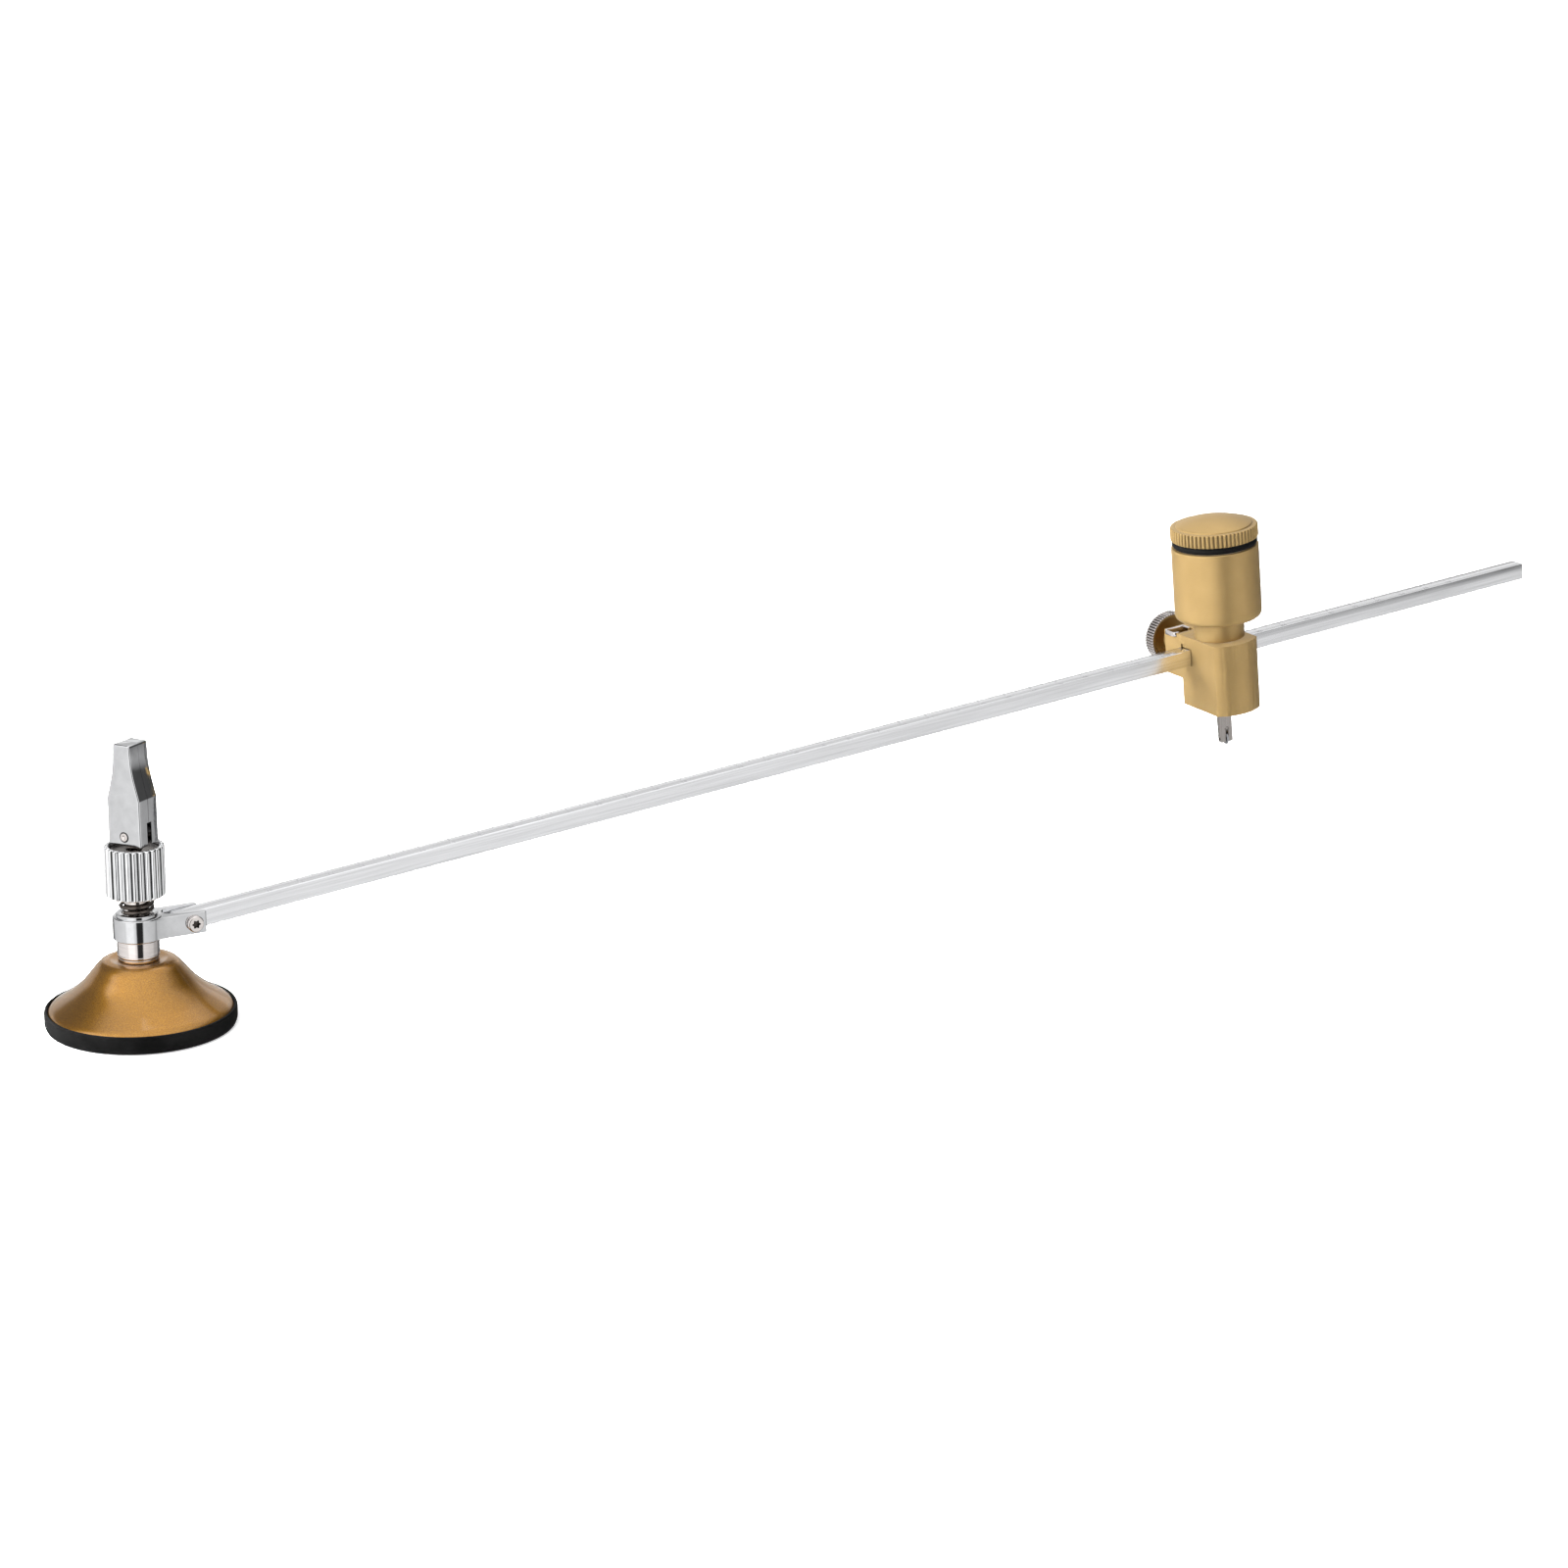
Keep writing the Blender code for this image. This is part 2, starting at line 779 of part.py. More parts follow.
def make_scale_bar(bar_frame):
    half = bar_side / 2
    points = arc((0.0, 0.0), half, 90, 270, bar_end_steps)
    points = [(x - bar_inner_end + half, z) for x, z in points]
    outer_end = bar_length - bar_inner_end
    points += [(outer_end, -half), (outer_end, half)]
    made = outline("scale_bar", points, half)
    made.rotation_euler = (math.pi / 2, 0.0, 0.0)
    round_edges(made, bar_edge_round, segments=1, angle=60.0)
    hole = cylinder(
        "bar_screw_hole", bracket_screw_radius + run_gap, -half - overrun, half + overrun
    )
    combine(made, helper(along_y(hole, 0.0, 0.0), bar_frame), "DIFFERENCE")
    place(made, bar_frame, bar_steel)


def make_head_block(head_frame):
    front = math.hypot(head_half_width, head_corner_depth)
    corner = math.degrees(math.atan2(-head_corner_depth, -head_half_width)) % 360
    body_points = [(-head_half_width, head_back_y)]
    body_points += arc((0.0, head_axis_y), front, corner, 540 - corner, head_arc_steps)
    body_points += [(head_half_width, head_back_y)]
    made = outline("head_block", body_points, (head_top - head_bottom) / 2)
    made.location = (0.0, 0.0, (head_top + head_bottom) / 2)
    round_edges(made, head_edge_round)
    lug = box(
        "head_lug",
        (-head_half_width, head_back_y - overrun, lug_bottom),
        (head_half_width, lug_back_y, head_top),
    )
    round_edges(lug, head_edge_round)
    half = bar_side / 2 + run_gap
    far = head_half_width + overrun
    passage = box("bar_passage", (-far, -half, -half), (far, half, half))
    stem = cylinder("stem_hole", stem_radius + run_gap, stem_hole_bottom, head_top + overrun)
    shank = cylinder(
        "shank_hole",
        holder_shank_radius + run_gap,
        head_bottom - overrun,
        stem_hole_bottom + overrun,
    )
    for hole in (stem, shank):
        hole.location.y = head_axis_y
    pocket = box(
        "clip_pocket",
        (pocket_wall - head_half_width, clip_front_y + clip_sheet, head_top - pocket_depth),
        (run_gap - clip_right_end, clip_back_y + run_gap, head_top + overrun),
    )
    notch = box(
        "clip_notch",
        (-far, clip_front_y - run_gap, clip_bottom - run_gap),
        (run_gap - clip_right_end, clip_back_y + run_gap, head_top + overrun),
    )
    screw = cylinder("thumb_hole", thumb_shank_radius + run_gap, bar_side / 2, lug_back_y + overrun)
    grub = cylinder("grub_hole", set_screw_radius + run_gap, 0.0, far)
    combine(made, helper(lug, head_frame), "UNION")
    combine(made, helper(along_x(grub, head_axis_y, set_screw_height), head_frame), "DIFFERENCE")
    combine(made, helper(passage, head_frame), "DIFFERENCE")
    combine(made, helper(stem, head_frame), "DIFFERENCE")
    combine(made, helper(shank, head_frame), "DIFFERENCE")
    combine(made, helper(pocket, head_frame), "DIFFERENCE")
    combine(made, helper(notch, head_frame), "DIFFERENCE")
    combine(made, helper(along_y(screw, 0.0, clamp_height), head_frame), "DIFFERENCE")
    place(made, head_frame, champagne_gold)


def make_oil_reservoir(cap_frame):
    neck_bottom = head_top + seat_gap
    round_centre = (reservoir_radius - reservoir_edge_round, reservoir_bottom + reservoir_edge_round)
    lower_edge = arc(round_centre, reservoir_edge_round, 0, -90, 5)
    bore = wick_radius + run_gap
    profile = [(reservoir_radius - reservoir_rim_round, reservoir_top)]
    profile += [(reservoir_radius, reservoir_top - reservoir_rim_round)]
    profile += lower_edge
    profile += [
        (neck_outer_radius, reservoir_bottom),
        (neck_outer_radius, neck_bottom),
        (stem_radius, neck_bottom),
        (stem_radius, stem_bottom),
        (bore, stem_bottom),
        (bore, reservoir_floor),
        (reservoir_bore_radius, reservoir_floor),
        (reservoir_bore_radius, reservoir_top),
    ]
    place(turned("oil_reservoir", profile, steps=fine_steps), cap_frame, champagne_gold)


def make_oil_wick(cap_frame):
    top = reservoir_floor + wick_rise
    made = cylinder(
        "oil_wick", wick_radius, holder_shank_top + seat_gap, top, steps=small_steps
    )
    place(made, cap_frame, felt)


def make_cap_seal(cap_frame):
    spigot_radius = reservoir_bore_radius - run_gap
    middle = (spigot_radius + run_gap + seal_wire_radius, reservoir_top + seat_gap + seal_wire_radius)
    profile = arc(middle, seal_wire_radius, 90, -270, seal_wire_steps)[:-1]
    place(turned("cap_seal", profile, steps=round_steps), cap_frame, black_rubber)


def make_reservoir_cap(cap_frame):
    band_bottom = reservoir_top + 2 * (seat_gap + seal_wire_radius)
    band_top = band_bottom + cap_band_height
    crown_edge = band_top + cap_crown_step
    crown = []
    for i in range(cap_crown_steps + 1):
        share = i / cap_crown_steps
        crown.append((cap_crown_radius * share, crown_edge + cap_crown_rise * (1 - share**2)))
    spigot_radius = reservoir_bore_radius - run_gap
    inner = spigot_radius - cap_spigot_wall
    ceiling = crown_edge - cap_roof
    profile = crown + [
        (cap_crown_radius, band_top),
        (cap_radius - cap_chamfer, band_top),
        (cap_radius, band_top - cap_chamfer),
        (cap_radius, band_bottom + cap_chamfer),
        (cap_radius - cap_chamfer, band_bottom),
        (spigot_radius, band_bottom),
        (spigot_radius, band_bottom - cap_spigot_length),
        (inner, band_bottom - cap_spigot_length),
        (inner, ceiling),
        (0.0, ceiling),
    ]
    made = turned("reservoir_cap", profile, closed=False, steps=fine_steps)
    knurl = toothed(
        "cap_knurl",
        cap_radius,
        cap_tooth_depth,
        cap_teeth,
        band_bottom - cap_spigot_length - overrun,
        crown_edge + cap_crown_rise + overrun,
    )
    combine(made, helper(knurl, cap_frame), "INTERSECT")
    place(made, cap_frame, champagne_gold)


def make_clamp_pad(clamp_frame):
    made = cylinder("clamp_pad", pad_radius, pad_front_y, pad_back_y)
    place(along_y(made, 0.0, 0.0), clamp_frame, brass)


def make_retaining_clip(head_frame):
    corner_x = clip_corner - clip_left_end
    back_centre = (corner_x, clip_back_y - clip_corner)
    front_centre = (corner_x, clip_front_y + clip_corner)
    inner = clip_corner - clip_sheet
    front_end = clip_front_length - clip_left_end
    leg_end = clip_back_y - clip_right_leg
    points = [(-clip_right_end, leg_end), (-clip_right_end, clip_back_y)]
    points += arc(back_centre, clip_corner, 90, 180, clip_corner_steps)
    points += arc(front_centre, clip_corner, 180, 270, clip_corner_steps)
    points += [(front_end, clip_front_y), (front_end, clip_front_y + clip_sheet)]
    points += arc(front_centre, inner, 270, 180, clip_corner_steps)
    points += arc(back_centre, inner, 180, 90, clip_corner_steps)
    points += [(-clip_right_end - clip_sheet, clip_back_y - clip_sheet)]
    points += [(-clip_right_end - clip_sheet, leg_end)]
    made = outline("retaining_clip", points, (clip_top - clip_bottom) / 2)
    made.location = (0.0, 0.0, (clip_top + clip_bottom) / 2)
    place(made, head_frame, nickel)


def make_thumb_screw(clamp_frame):
    tip = pad_back_y + seat_gap
    disc_front = knob_front_y + run_gap
    disc_back = disc_front + thumb_disc_thickness
    end = knob_front_y + knob_thickness
    profile = [
        (0.0, end),
        (thumb_shank_radius, end),
        (thumb_shank_radius, disc_back),
        (thumb_disc_radius, disc_back),
        (thumb_disc_radius, disc_front),
        (thumb_collar_radius, disc_front),
        (thumb_collar_radius, thumb_collar_start_y),
        (thumb_shank_radius, thumb_collar_start_y),
        (thumb_shank_radius, tip),
        (0.0, tip),
    ]
    made = turned("thumb_screw", profile, closed=False, steps=round_steps)
    place(along_y(made, 0.0, 0.0), clamp_frame, brass)


def make_thumb_knob(clamp_frame):
    back = knob_front_y + knob_thickness
    bore = thumb_shank_radius + run_gap
    recess = thumb_disc_radius + run_gap
    floor = knob_front_y + thumb_disc_thickness + 2 * run_gap
    profile = [
        (knob_radius - knob_chamfer, back),
        (knob_radius, back - knob_chamfer),
        (knob_radius, knob_front_y + knob_chamfer),
        (knob_radius - knob_chamfer, knob_front_y),
        (recess, knob_front_y),
        (recess, floor),
        (bore, floor),
        (bore, back),
    ]
    made = turned("thumb_knob", profile, steps=fine_steps)
    knurl = toothed(
        "knob_knurl", knob_radius, knob_tooth_depth, knob_teeth, knob_front_y - overrun, back + overrun
    )
    knurl.rotation_euler = (-math.pi / 2, 0.0, 0.0)
    knurl.location = (0.0, (knob_front_y + back) / 2, 0.0)
    combine(made, helper(knurl, clamp_frame), "INTERSECT")
    place(along_y(made, 0.0, 0.0), clamp_frame, nickel)


def make_wheel_holder(wheel_frame):
    rise = -wheel_height
    tongue_top = head_bottom - seat_gap + rise
    tip = holder_bottom + rise
    made = cylinder("wheel_holder", holder_shank_radius, tongue_top, holder_shank_top + rise)
    side_points = [
        (-holder_half_depth, tongue_top + overrun),
        (-holder_half_depth, tip),
        (holder_tip_half_depth, tip),
        (holder_half_depth, tongue_top),
        (holder_half_depth, tongue_top + overrun),
    ]
    tongue = outline("holder_tongue", side_points, holder_half_width)
    tongue.rotation_euler = (math.pi / 2, 0.0, math.pi / 2)
    far = holder_half_depth + overrun
    side = holder_half_width + overrun
    slot = box(
        "holder_slot",
        (-wheel_slot_half_width, -far, tip - overrun),
        (wheel_slot_half_width, far, keyhole_height + rise),
    )
    keyhole = cylinder("holder_keyhole", keyhole_radius, -far, far, steps=small_steps)
    axle_hole = cylinder(
        "holder_axle_hole", axle_radius + run_gap / 2, -side, side, steps=small_steps
    )
    combine(made, helper(tongue, wheel_frame), "UNION")
    combine(made, helper(slot, wheel_frame), "DIFFERENCE")
    combine(made, helper(along_y(keyhole, 0.0, keyhole_height + rise), wheel_frame), "DIFFERENCE")
    combine(made, helper(along_x(axle_hole, 0.0, 0.0), wheel_frame), "DIFFERENCE")
    place(made, wheel_frame, nickel)


def make_wheel_axle(wheel_frame):
    end = holder_half_width
    made = cylinder("wheel_axle", axle_radius, -end, end, steps=small_steps)
    place(along_x(made, 0.0, 0.0), wheel_frame, spring_steel)


def make_cutter_wheel(wheel_frame):
    bore = axle_radius + run_gap / 2
    profile = [
        (bore, wheel_half_thickness),
        (wheel_flat_radius, wheel_half_thickness),
        (wheel_radius, 0.0),
        (wheel_flat_radius, -wheel_half_thickness),
        (bore, -wheel_half_thickness),
    ]
    made = turned("cutter_wheel", profile, steps=coarse_steps)
    place(along_x(made, 0.0, 0.0), wheel_frame, carbide)


def make_holder_set_screw(head_frame):
    start = holder_shank_radius + seat_gap
    made = cylinder("holder_set_screw", set_screw_radius, start, head_half_width)
    socket = cylinder(
        "set_screw_socket",
        set_screw_socket_radius,
        head_half_width - set_screw_socket_depth,
        head_half_width + overrun,
        steps=6,
    )
    combine(made, helper(along_x(socket, head_axis_y, set_screw_height), head_frame), "DIFFERENCE")
    place(along_x(made, head_axis_y, set_screw_height), head_frame, spring_steel)


def make_suction_foot():
    make_rubber_disc()
    make_dome_cover()
    make_base_washer()
    make_post_sleeve()
    make_post_lock_nut()
    make_pull_plate()
    make_return_spring()


def make_lever_group():
    pin_frame = frame("pin_axis", (0.0, 0.0, pin_height), turn=(0.0, 0.0, lever_yaw))
    make_pull_rod(pin_frame)
    make_lever_pin(pin_frame)
    make_cam_lever(pin_frame)


def make_swivel_group():
    make_arm_bracket()
    make_bracket_screw()
    make_friction_spring()
    make_nut_washer()
    make_knurled_nut()
    make_cam_washer()


def make_bar_and_head():
    bar_frame = frame(
        "tilt_axis",
        (bracket_screw_x, 0.0, bracket_screw_height),
        turn=(0.0, -bar_pitch, 0.0),
    )
    head_frame = frame("head_station", (head_station, 0.0, 0.0), bar_frame)
    cap_frame = frame("cap_axis", (0.0, head_axis_y, 0.0), head_frame)
    clamp_frame = frame("thumb_axis", (0.0, 0.0, clamp_height), head_frame)
    wheel_frame = frame("wheel_axis", (0.0, head_axis_y, wheel_height), head_frame)
    make_scale_bar(bar_frame)
    make_head_block(head_frame)
    make_oil_reservoir(cap_frame)
    make_oil_wick(cap_frame)
    make_cap_seal(cap_frame)
    make_reservoir_cap(cap_frame)
    make_clamp_pad(clamp_frame)
    make_retaining_clip(head_frame)
    make_thumb_screw(clamp_frame)
    make_thumb_knob(clamp_frame)
    make_wheel_holder(wheel_frame)
    make_wheel_axle(wheel_frame)
    make_cutter_wheel(wheel_frame)
    make_holder_set_screw(head_frame)


make_suction_foot()
make_lever_group()
make_swivel_group()
make_bar_and_head()
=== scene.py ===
"""The looks of a glass circle cutter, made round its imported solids.

A suction foot with a cam lever, a swivelling arm, a graduated bar and a sliding cutter head with
an oil reservoir. Metres, +Z up.
"""

import json
from math import atan2, cos, degrees, hypot, pi, radians, sin, sqrt

import bmesh
import bpy
from mathutils import Matrix, Vector


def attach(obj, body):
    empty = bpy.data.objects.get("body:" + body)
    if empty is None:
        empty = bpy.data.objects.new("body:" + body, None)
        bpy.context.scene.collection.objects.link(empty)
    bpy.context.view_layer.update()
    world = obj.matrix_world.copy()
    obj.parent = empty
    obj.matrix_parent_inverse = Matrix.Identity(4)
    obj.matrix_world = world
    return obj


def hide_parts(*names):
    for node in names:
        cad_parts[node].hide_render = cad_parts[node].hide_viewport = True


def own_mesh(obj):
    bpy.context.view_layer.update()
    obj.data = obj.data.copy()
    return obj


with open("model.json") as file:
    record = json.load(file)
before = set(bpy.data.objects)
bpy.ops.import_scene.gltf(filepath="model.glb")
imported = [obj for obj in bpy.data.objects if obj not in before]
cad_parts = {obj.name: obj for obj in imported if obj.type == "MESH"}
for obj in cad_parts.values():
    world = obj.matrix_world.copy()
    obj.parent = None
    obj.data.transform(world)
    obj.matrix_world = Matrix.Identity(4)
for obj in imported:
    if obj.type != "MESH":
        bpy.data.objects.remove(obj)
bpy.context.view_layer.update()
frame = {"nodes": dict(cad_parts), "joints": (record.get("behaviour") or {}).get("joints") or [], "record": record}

MM = 0.001

# Facets and fillets, with the greatest share of an edge that a fillet takes
fine_steps = 128
rod_steps = 48
screw_steps = 64
wheel_steps = 96
round_end_steps = 24
clip_corner_steps = 12
knurl_points = 12
fillet_steps = 4
longest_cut = 0.45
fillet = 0.25 * MM
fine_segments = 2
bevel_segments = 3
round_segments = 4
bevel_width = 0.3 * MM
axle_edge = 0.08 * MM
dish_edge = 0.1 * MM
hair_edge = 0.12 * MM
small_edge = 0.15 * MM
crisp_edge = 0.2 * MM
round_edge = 0.5 * MM

# Greatest angles in degrees across which a surface still looks smooth
smooth_angle = 32.0
bevelled_angle = 40.0
wide_angle = 50.0
flute_angle = 60.0
lever_angle = 30.0

# Fits, how near the axis counts as on it, and a fillet too small to see
overrun = 2.0 * MM
run_gap = 0.15 * MM
seat_gap = 0.15 * MM
axis_limit = 0.001 * MM
near_axis = 0.002 * MM
sharp = 0.001 * MM

# Rubber disc and dome
rubber_web = 3.2 * MM
rubber_lip = 0.9 * MM
rubber_taper = 0.6 * MM
rubber_taper_height = 1.5 * MM
rubber_shoulder = 1.1 * MM
rubber_ring_share = 0.86
rubber_ring_depth = 0.25 * MM
dome_wall = 1.8 * MM
dome_flat_drop = 0.3 * MM
dome_smooth_steps = 6
# The dome's outer line, in shares of its radius and its height
dome_shares = ((0.247, 0.985), (0.327, 1.0), (0.418, 0.95), (0.509, 0.79), (0.617, 0.583))
dome_shares += ((0.744, 0.402), (0.872, 0.259), (0.963, 0.16), (1.0, 0.082), (1.0, 0.0))

# Post, bracket, nut and washers
rod_bore = 2.35 * MM
stud_radius = 3.9 * MM
journal_radius = 4.3 * MM
neck_radius = 3.7 * MM
post_body_height = 5.2 * MM
post_groove_rise = 0.75 * MM
post_groove_depth = 0.12 * MM
arm_lip_radius = 6.2 * MM
arm_lip_height = 0.95 * MM
arm_ring_radius = 7.25 * MM
arm_half_width = 5.3 * MM
arm_fillet = 11.0 * MM
arm_fillet_steps = 16
arm_end_round = 0.8 * MM
arm_fillet_sink = 0.04 * MM
arm_depth = 6.5 * MM
arm_step = 0.1 * MM
arm_edge_round = 0.7 * MM
arm_slot_start = 7.6 * MM
arm_slot_half = 3.05 * MM
bracket_screw_radius = 1.6 * MM
bracket_socket_radius = 1.35 * MM
bracket_socket_dip = 0.4 * MM
bracket_socket_lobes = 6
bracket_socket_depth = 0.8 * MM
socket_rim = 0.1 * MM
nut_flutes = 26
nut_flute_depth = 0.85 * MM
flute_sharpness = 2.2
nut_recess_radius = 7.6 * MM
nut_recess_depth = 2.05 * MM
nut_chamfer = 0.7 * MM

# Springs
spring_turn_points = 40
spring_wire_points = 12

# Cam lever and its pin
lever_shoulder_half = 5.83 * MM
lever_neck_half = 3.43 * MM
lever_top_half = 3.0 * MM
lever_shoulder_rise = 11.45 * MM
lever_neck_rise = 19.95 * MM
lever_shoulder_cut = 0.5 * MM
lever_neck_cut = 3.6 * MM
lever_edge_round = 0.7 * MM
lever_seam_height = 0.07 * MM
lever_seam_half = 0.13 * MM
lever_slot_half = 1.0 * MM
lever_slot_rise = 4.35 * MM
lever_pin_radius = 1.25 * MM
pin_dimple_radius = 0.6 * MM
pin_dimple_depth = 0.45 * MM
pin_hole_gap = 0.35 * MM
tongue_half = 0.8 * MM
eye_radius = 2.6 * MM

# Graduated bar
bar_side = 5.5 * MM
bar_edge = 0.3 * MM
mark_pitch = 5.0 * MM
mark_width = 0.22 * MM
mark_height = 0.012 * MM
short_mark = 1.3 * MM
long_mark = 2.0 * MM
number_size = 2.2 * MM
figure_resolution = 3
first_mark = 10
last_mark = 98
post_offset_bore = 15.8 * MM

# Cutter head
head_arc_steps = 64
stem_radius = 3.8 * MM
stem_hole_end = -3.0 * MM
neck_outer_radius = 8.4 * MM
shank_radius = 3.0 * MM
shank_hole_end = -1.0 * MM
lug_bottom = -8.3 * MM
head_back_y = 3.0 * MM
reservoir_neck_top = 13.85 * MM
reservoir_edge_round = 2.3 * MM
reservoir_lip_round = 0.35 * MM
reservoir_neck_round = 0.4 * MM
reservoir_fillet_steps = 8
reservoir_bore_radius = 12.0 * MM
reservoir_floor = 15.9 * MM
passage_relief = 0.9 * MM
clip_bottom = 5.8 * MM
pocket_wall = 1.5 * MM
pocket_depth = 4.0 * MM
grub_height = -12.5 * MM
grub_hole_radius = 1.65 * MM
grub_socket_radius = 0.75 * MM
grub_socket_depth = 1.5 * MM
grub_socket_sides = 6
cap_teeth = 62
cap_tooth_depth = 0.55 * MM
tooth_sharpness = 1.6
cap_band_height = 4.35 * MM
cap_crown_radius = 12.6 * MM
cap_crown_step = 0.4 * MM
cap_crown_rise = 2.5 * MM
cap_crown_points = 14
cap_spigot_wall = 2.0 * MM
cap_roof = 3.0 * MM
seal_points = 20

# Thumb screw and knob
thumb_shank = 2.4 * MM
thumb_collar_radius = 3.4 * MM
thumb_collar_start = 14.0 * MM
thumb_disc_radius = 8.1 * MM
thumb_disc_thickness = 1.7 * MM
thumb_dish = 0.35 * MM
knob_teeth = 56
knob_tooth_depth = 0.5 * MM

# Clip, holder and wheel
clip_sheet = 0.8 * MM
clip_front_length = 2.4 * MM
clip_right_leg = 4.1 * MM
clip_corner = 1.7 * MM
holder_half_width = 2.25 * MM
holder_half_depth = 1.3 * MM
holder_tip_half_depth = 0.9 * MM
keyhole_height = -25.6 * MM
keyhole_radius = 0.9 * MM
wheel_slot_half = 0.55 * MM
axle_radius = 0.5 * MM
wheel_flat_radius = 1.75 * MM

# Camera and studio
camera_at = Vector((-363.718, -1049.204, 391.079)) * MM
camera_azimuth = radians(-28.954)
camera_elevation = radians(16.131)
camera_roll = radians(0.285)
camera_lens = 90.0
camera_sensor = 36.0
camera_clip = (0.01, 50.0)
floor_drop = 0.2 * MM
floor_size = 6.0
floor_thickness = 1.0 * MM
floor_colour = (0.92, 0.92, 0.92, 1.0)
floor_lift = 0.35
white = (1.0, 1.0, 1.0, 1.0)

# Finishes: the middle range of a noise, what wear leaves of a colour, the range of roughness
noise_low = 0.25
noise_high = 0.75
plating_wear = 0.9
plating_haze = (0.7, 1.5)
brushed_wear = 0.84
brushed_haze = (0.8, 1.25)
brushed_stretch = 0.02

finishes = {}
record = frame["record"]
joints = {joint["name"]: joint for joint in frame["joints"]}
body_of = {node: body for body, nodes in record["behaviour"]["bodies"].items() for node in nodes}
slot_of = {row["node"]: row["material_slot"] for row in record["subparts"]}

# Frames of the groups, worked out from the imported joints
lever_axis = joints["lever_flip"]["axis"]
along_bar = joints["head_slide"]["axis"]
lever_yaw = atan2(-lever_axis[1], -lever_axis[0])
bar_pitch = atan2(along_bar[2], along_bar[0])
foot_frame = Matrix.Identity(4)
pin_frame = Matrix.Translation(joints["lever_flip"]["pos_m"]) @ Matrix.Rotation(lever_yaw, 4, "Z")
bar_frame = Matrix.Translation(joints["bar_tilt"]["pos_m"]) @ Matrix.Rotation(-bar_pitch, 4, "Y")
wheel_at = bar_frame.inverted() @ Vector(joints["wheel_spin"]["pos_m"])
head_frame = bar_frame @ Matrix.Translation((wheel_at.x, 0.0, 0.0))
cap_frame = head_frame @ Matrix.Translation((0.0, wheel_at.y, 0.0))
wheel_frame = head_frame @ Matrix.Translation((0.0, wheel_at.y, wheel_at.z))
thumb_at = head_frame.inverted() @ Vector(joints["thumb_turn"]["pos_m"])
thumb_frame = head_frame @ Matrix.Translation((0.0, 0.0, thumb_at.z))
along_x = Matrix.Rotation(pi / 2, 4, "Y")
along_y = Matrix.Rotation(-pi / 2, 4, "X")
stand_in_yz = Matrix(((0, 0, 1, 0), (1, 0, 0, 0), (0, 1, 0, 0), (0, 0, 0, 1)))


def vertices_of(node, place):
    """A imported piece's vertices, seen in one of the frames."""
    inward = place.inverted()
    return [inward @ vertex.co for vertex in frame["nodes"][node].data.vertices]


def extent(node, place=foot_frame):
    """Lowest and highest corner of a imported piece, seen in one of the frames."""
    columns = list(zip(*vertices_of(node, place)))
    return Vector([min(column) for column in columns]), Vector([max(column) for column in columns])


def reach(node, place=foot_frame):
    """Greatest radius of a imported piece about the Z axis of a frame."""
    return max(hypot(point.x, point.y) for point in vertices_of(node, place))


def middle_of(node):
    """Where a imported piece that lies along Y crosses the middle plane."""
    low, high = extent(node)
    return (low.x + high.x) / 2, 0.0, (low.z + high.z) / 2


def placed(name, data):
    """A new object in the scene."""
    made = bpy.data.objects.new(name, data)
    bpy.context.scene.collection.objects.link(made)
    return made


def from_bmesh(name, shape):
    bmesh.ops.recalc_face_normals(shape, faces=shape.faces)
    mesh = bpy.data.meshes.new(name)
    shape.to_mesh(mesh)
    shape.free()
    return placed(name, mesh)


def smooth(made, angle=smooth_angle):
    made.data.shade_smooth()
    made.data.set_sharp_from_angle(angle=radians(angle))
    return made


def softened(points, size=fillet, closed=True, steps=fillet_steps):
    """A profile with its corners rounded. A point may give its own size as a third value."""
    soft = []
    count = len(points)
    for i, point in enumerate(points):
        here = Vector(point[:2])
        if not closed and i in (0, count - 1):
            soft.append(here)
            continue
        before = Vector(points[i - 1][:2]) - here
        after = Vector(points[(i + 1) % count][:2]) - here
        wanted = point[2] if len(point) > 2 else size
        start = here + before.normalized() * min(wanted, before.length * longest_cut)
        end = here + after.normalized() * min(wanted, after.length * longest_cut)
        for k in range(steps + 1):
            t = k / steps
            soft.append(start * (1 - t) ** 2 + here * (2 * t * (1 - t)) + end * t**2)
    return soft


def to_axis(start, points, end, size=fillet):
    """An open profile with its corners rounded, led to the axis at both ends."""
    return [(0.0, start)] + softened(points, size, closed=False) + [(0.0, end)]


def polar(radius, angle):
    return radius * cos(angle), radius * sin(angle)


def arc(centre, radius, start, end, steps):
    """Points on an arc, from one angle in degrees to another."""
    found = []
    for i in range(steps + 1):
        x, y = polar(radius, radians(start + (end - start) * i / steps))
        found.append((centre[0] + x, centre[1] + y))
    return found


def skin(shape, rings):
    """Faces from each ring of vertices to the next. A ring may be a single point."""
    for first, second in zip(rings, rings[1:]):
        steps = max(len(first), len(second))
        for i in range(steps):
            j = (i + 1) % steps
            corners = [first[i % len(first)], first[j % len(first)]]
            corners += [second[j % len(second)], second[i % len(second)]]
            corners = list(dict.fromkeys(corners))
            if len(corners) > 2:
                shape.faces.new(corners)


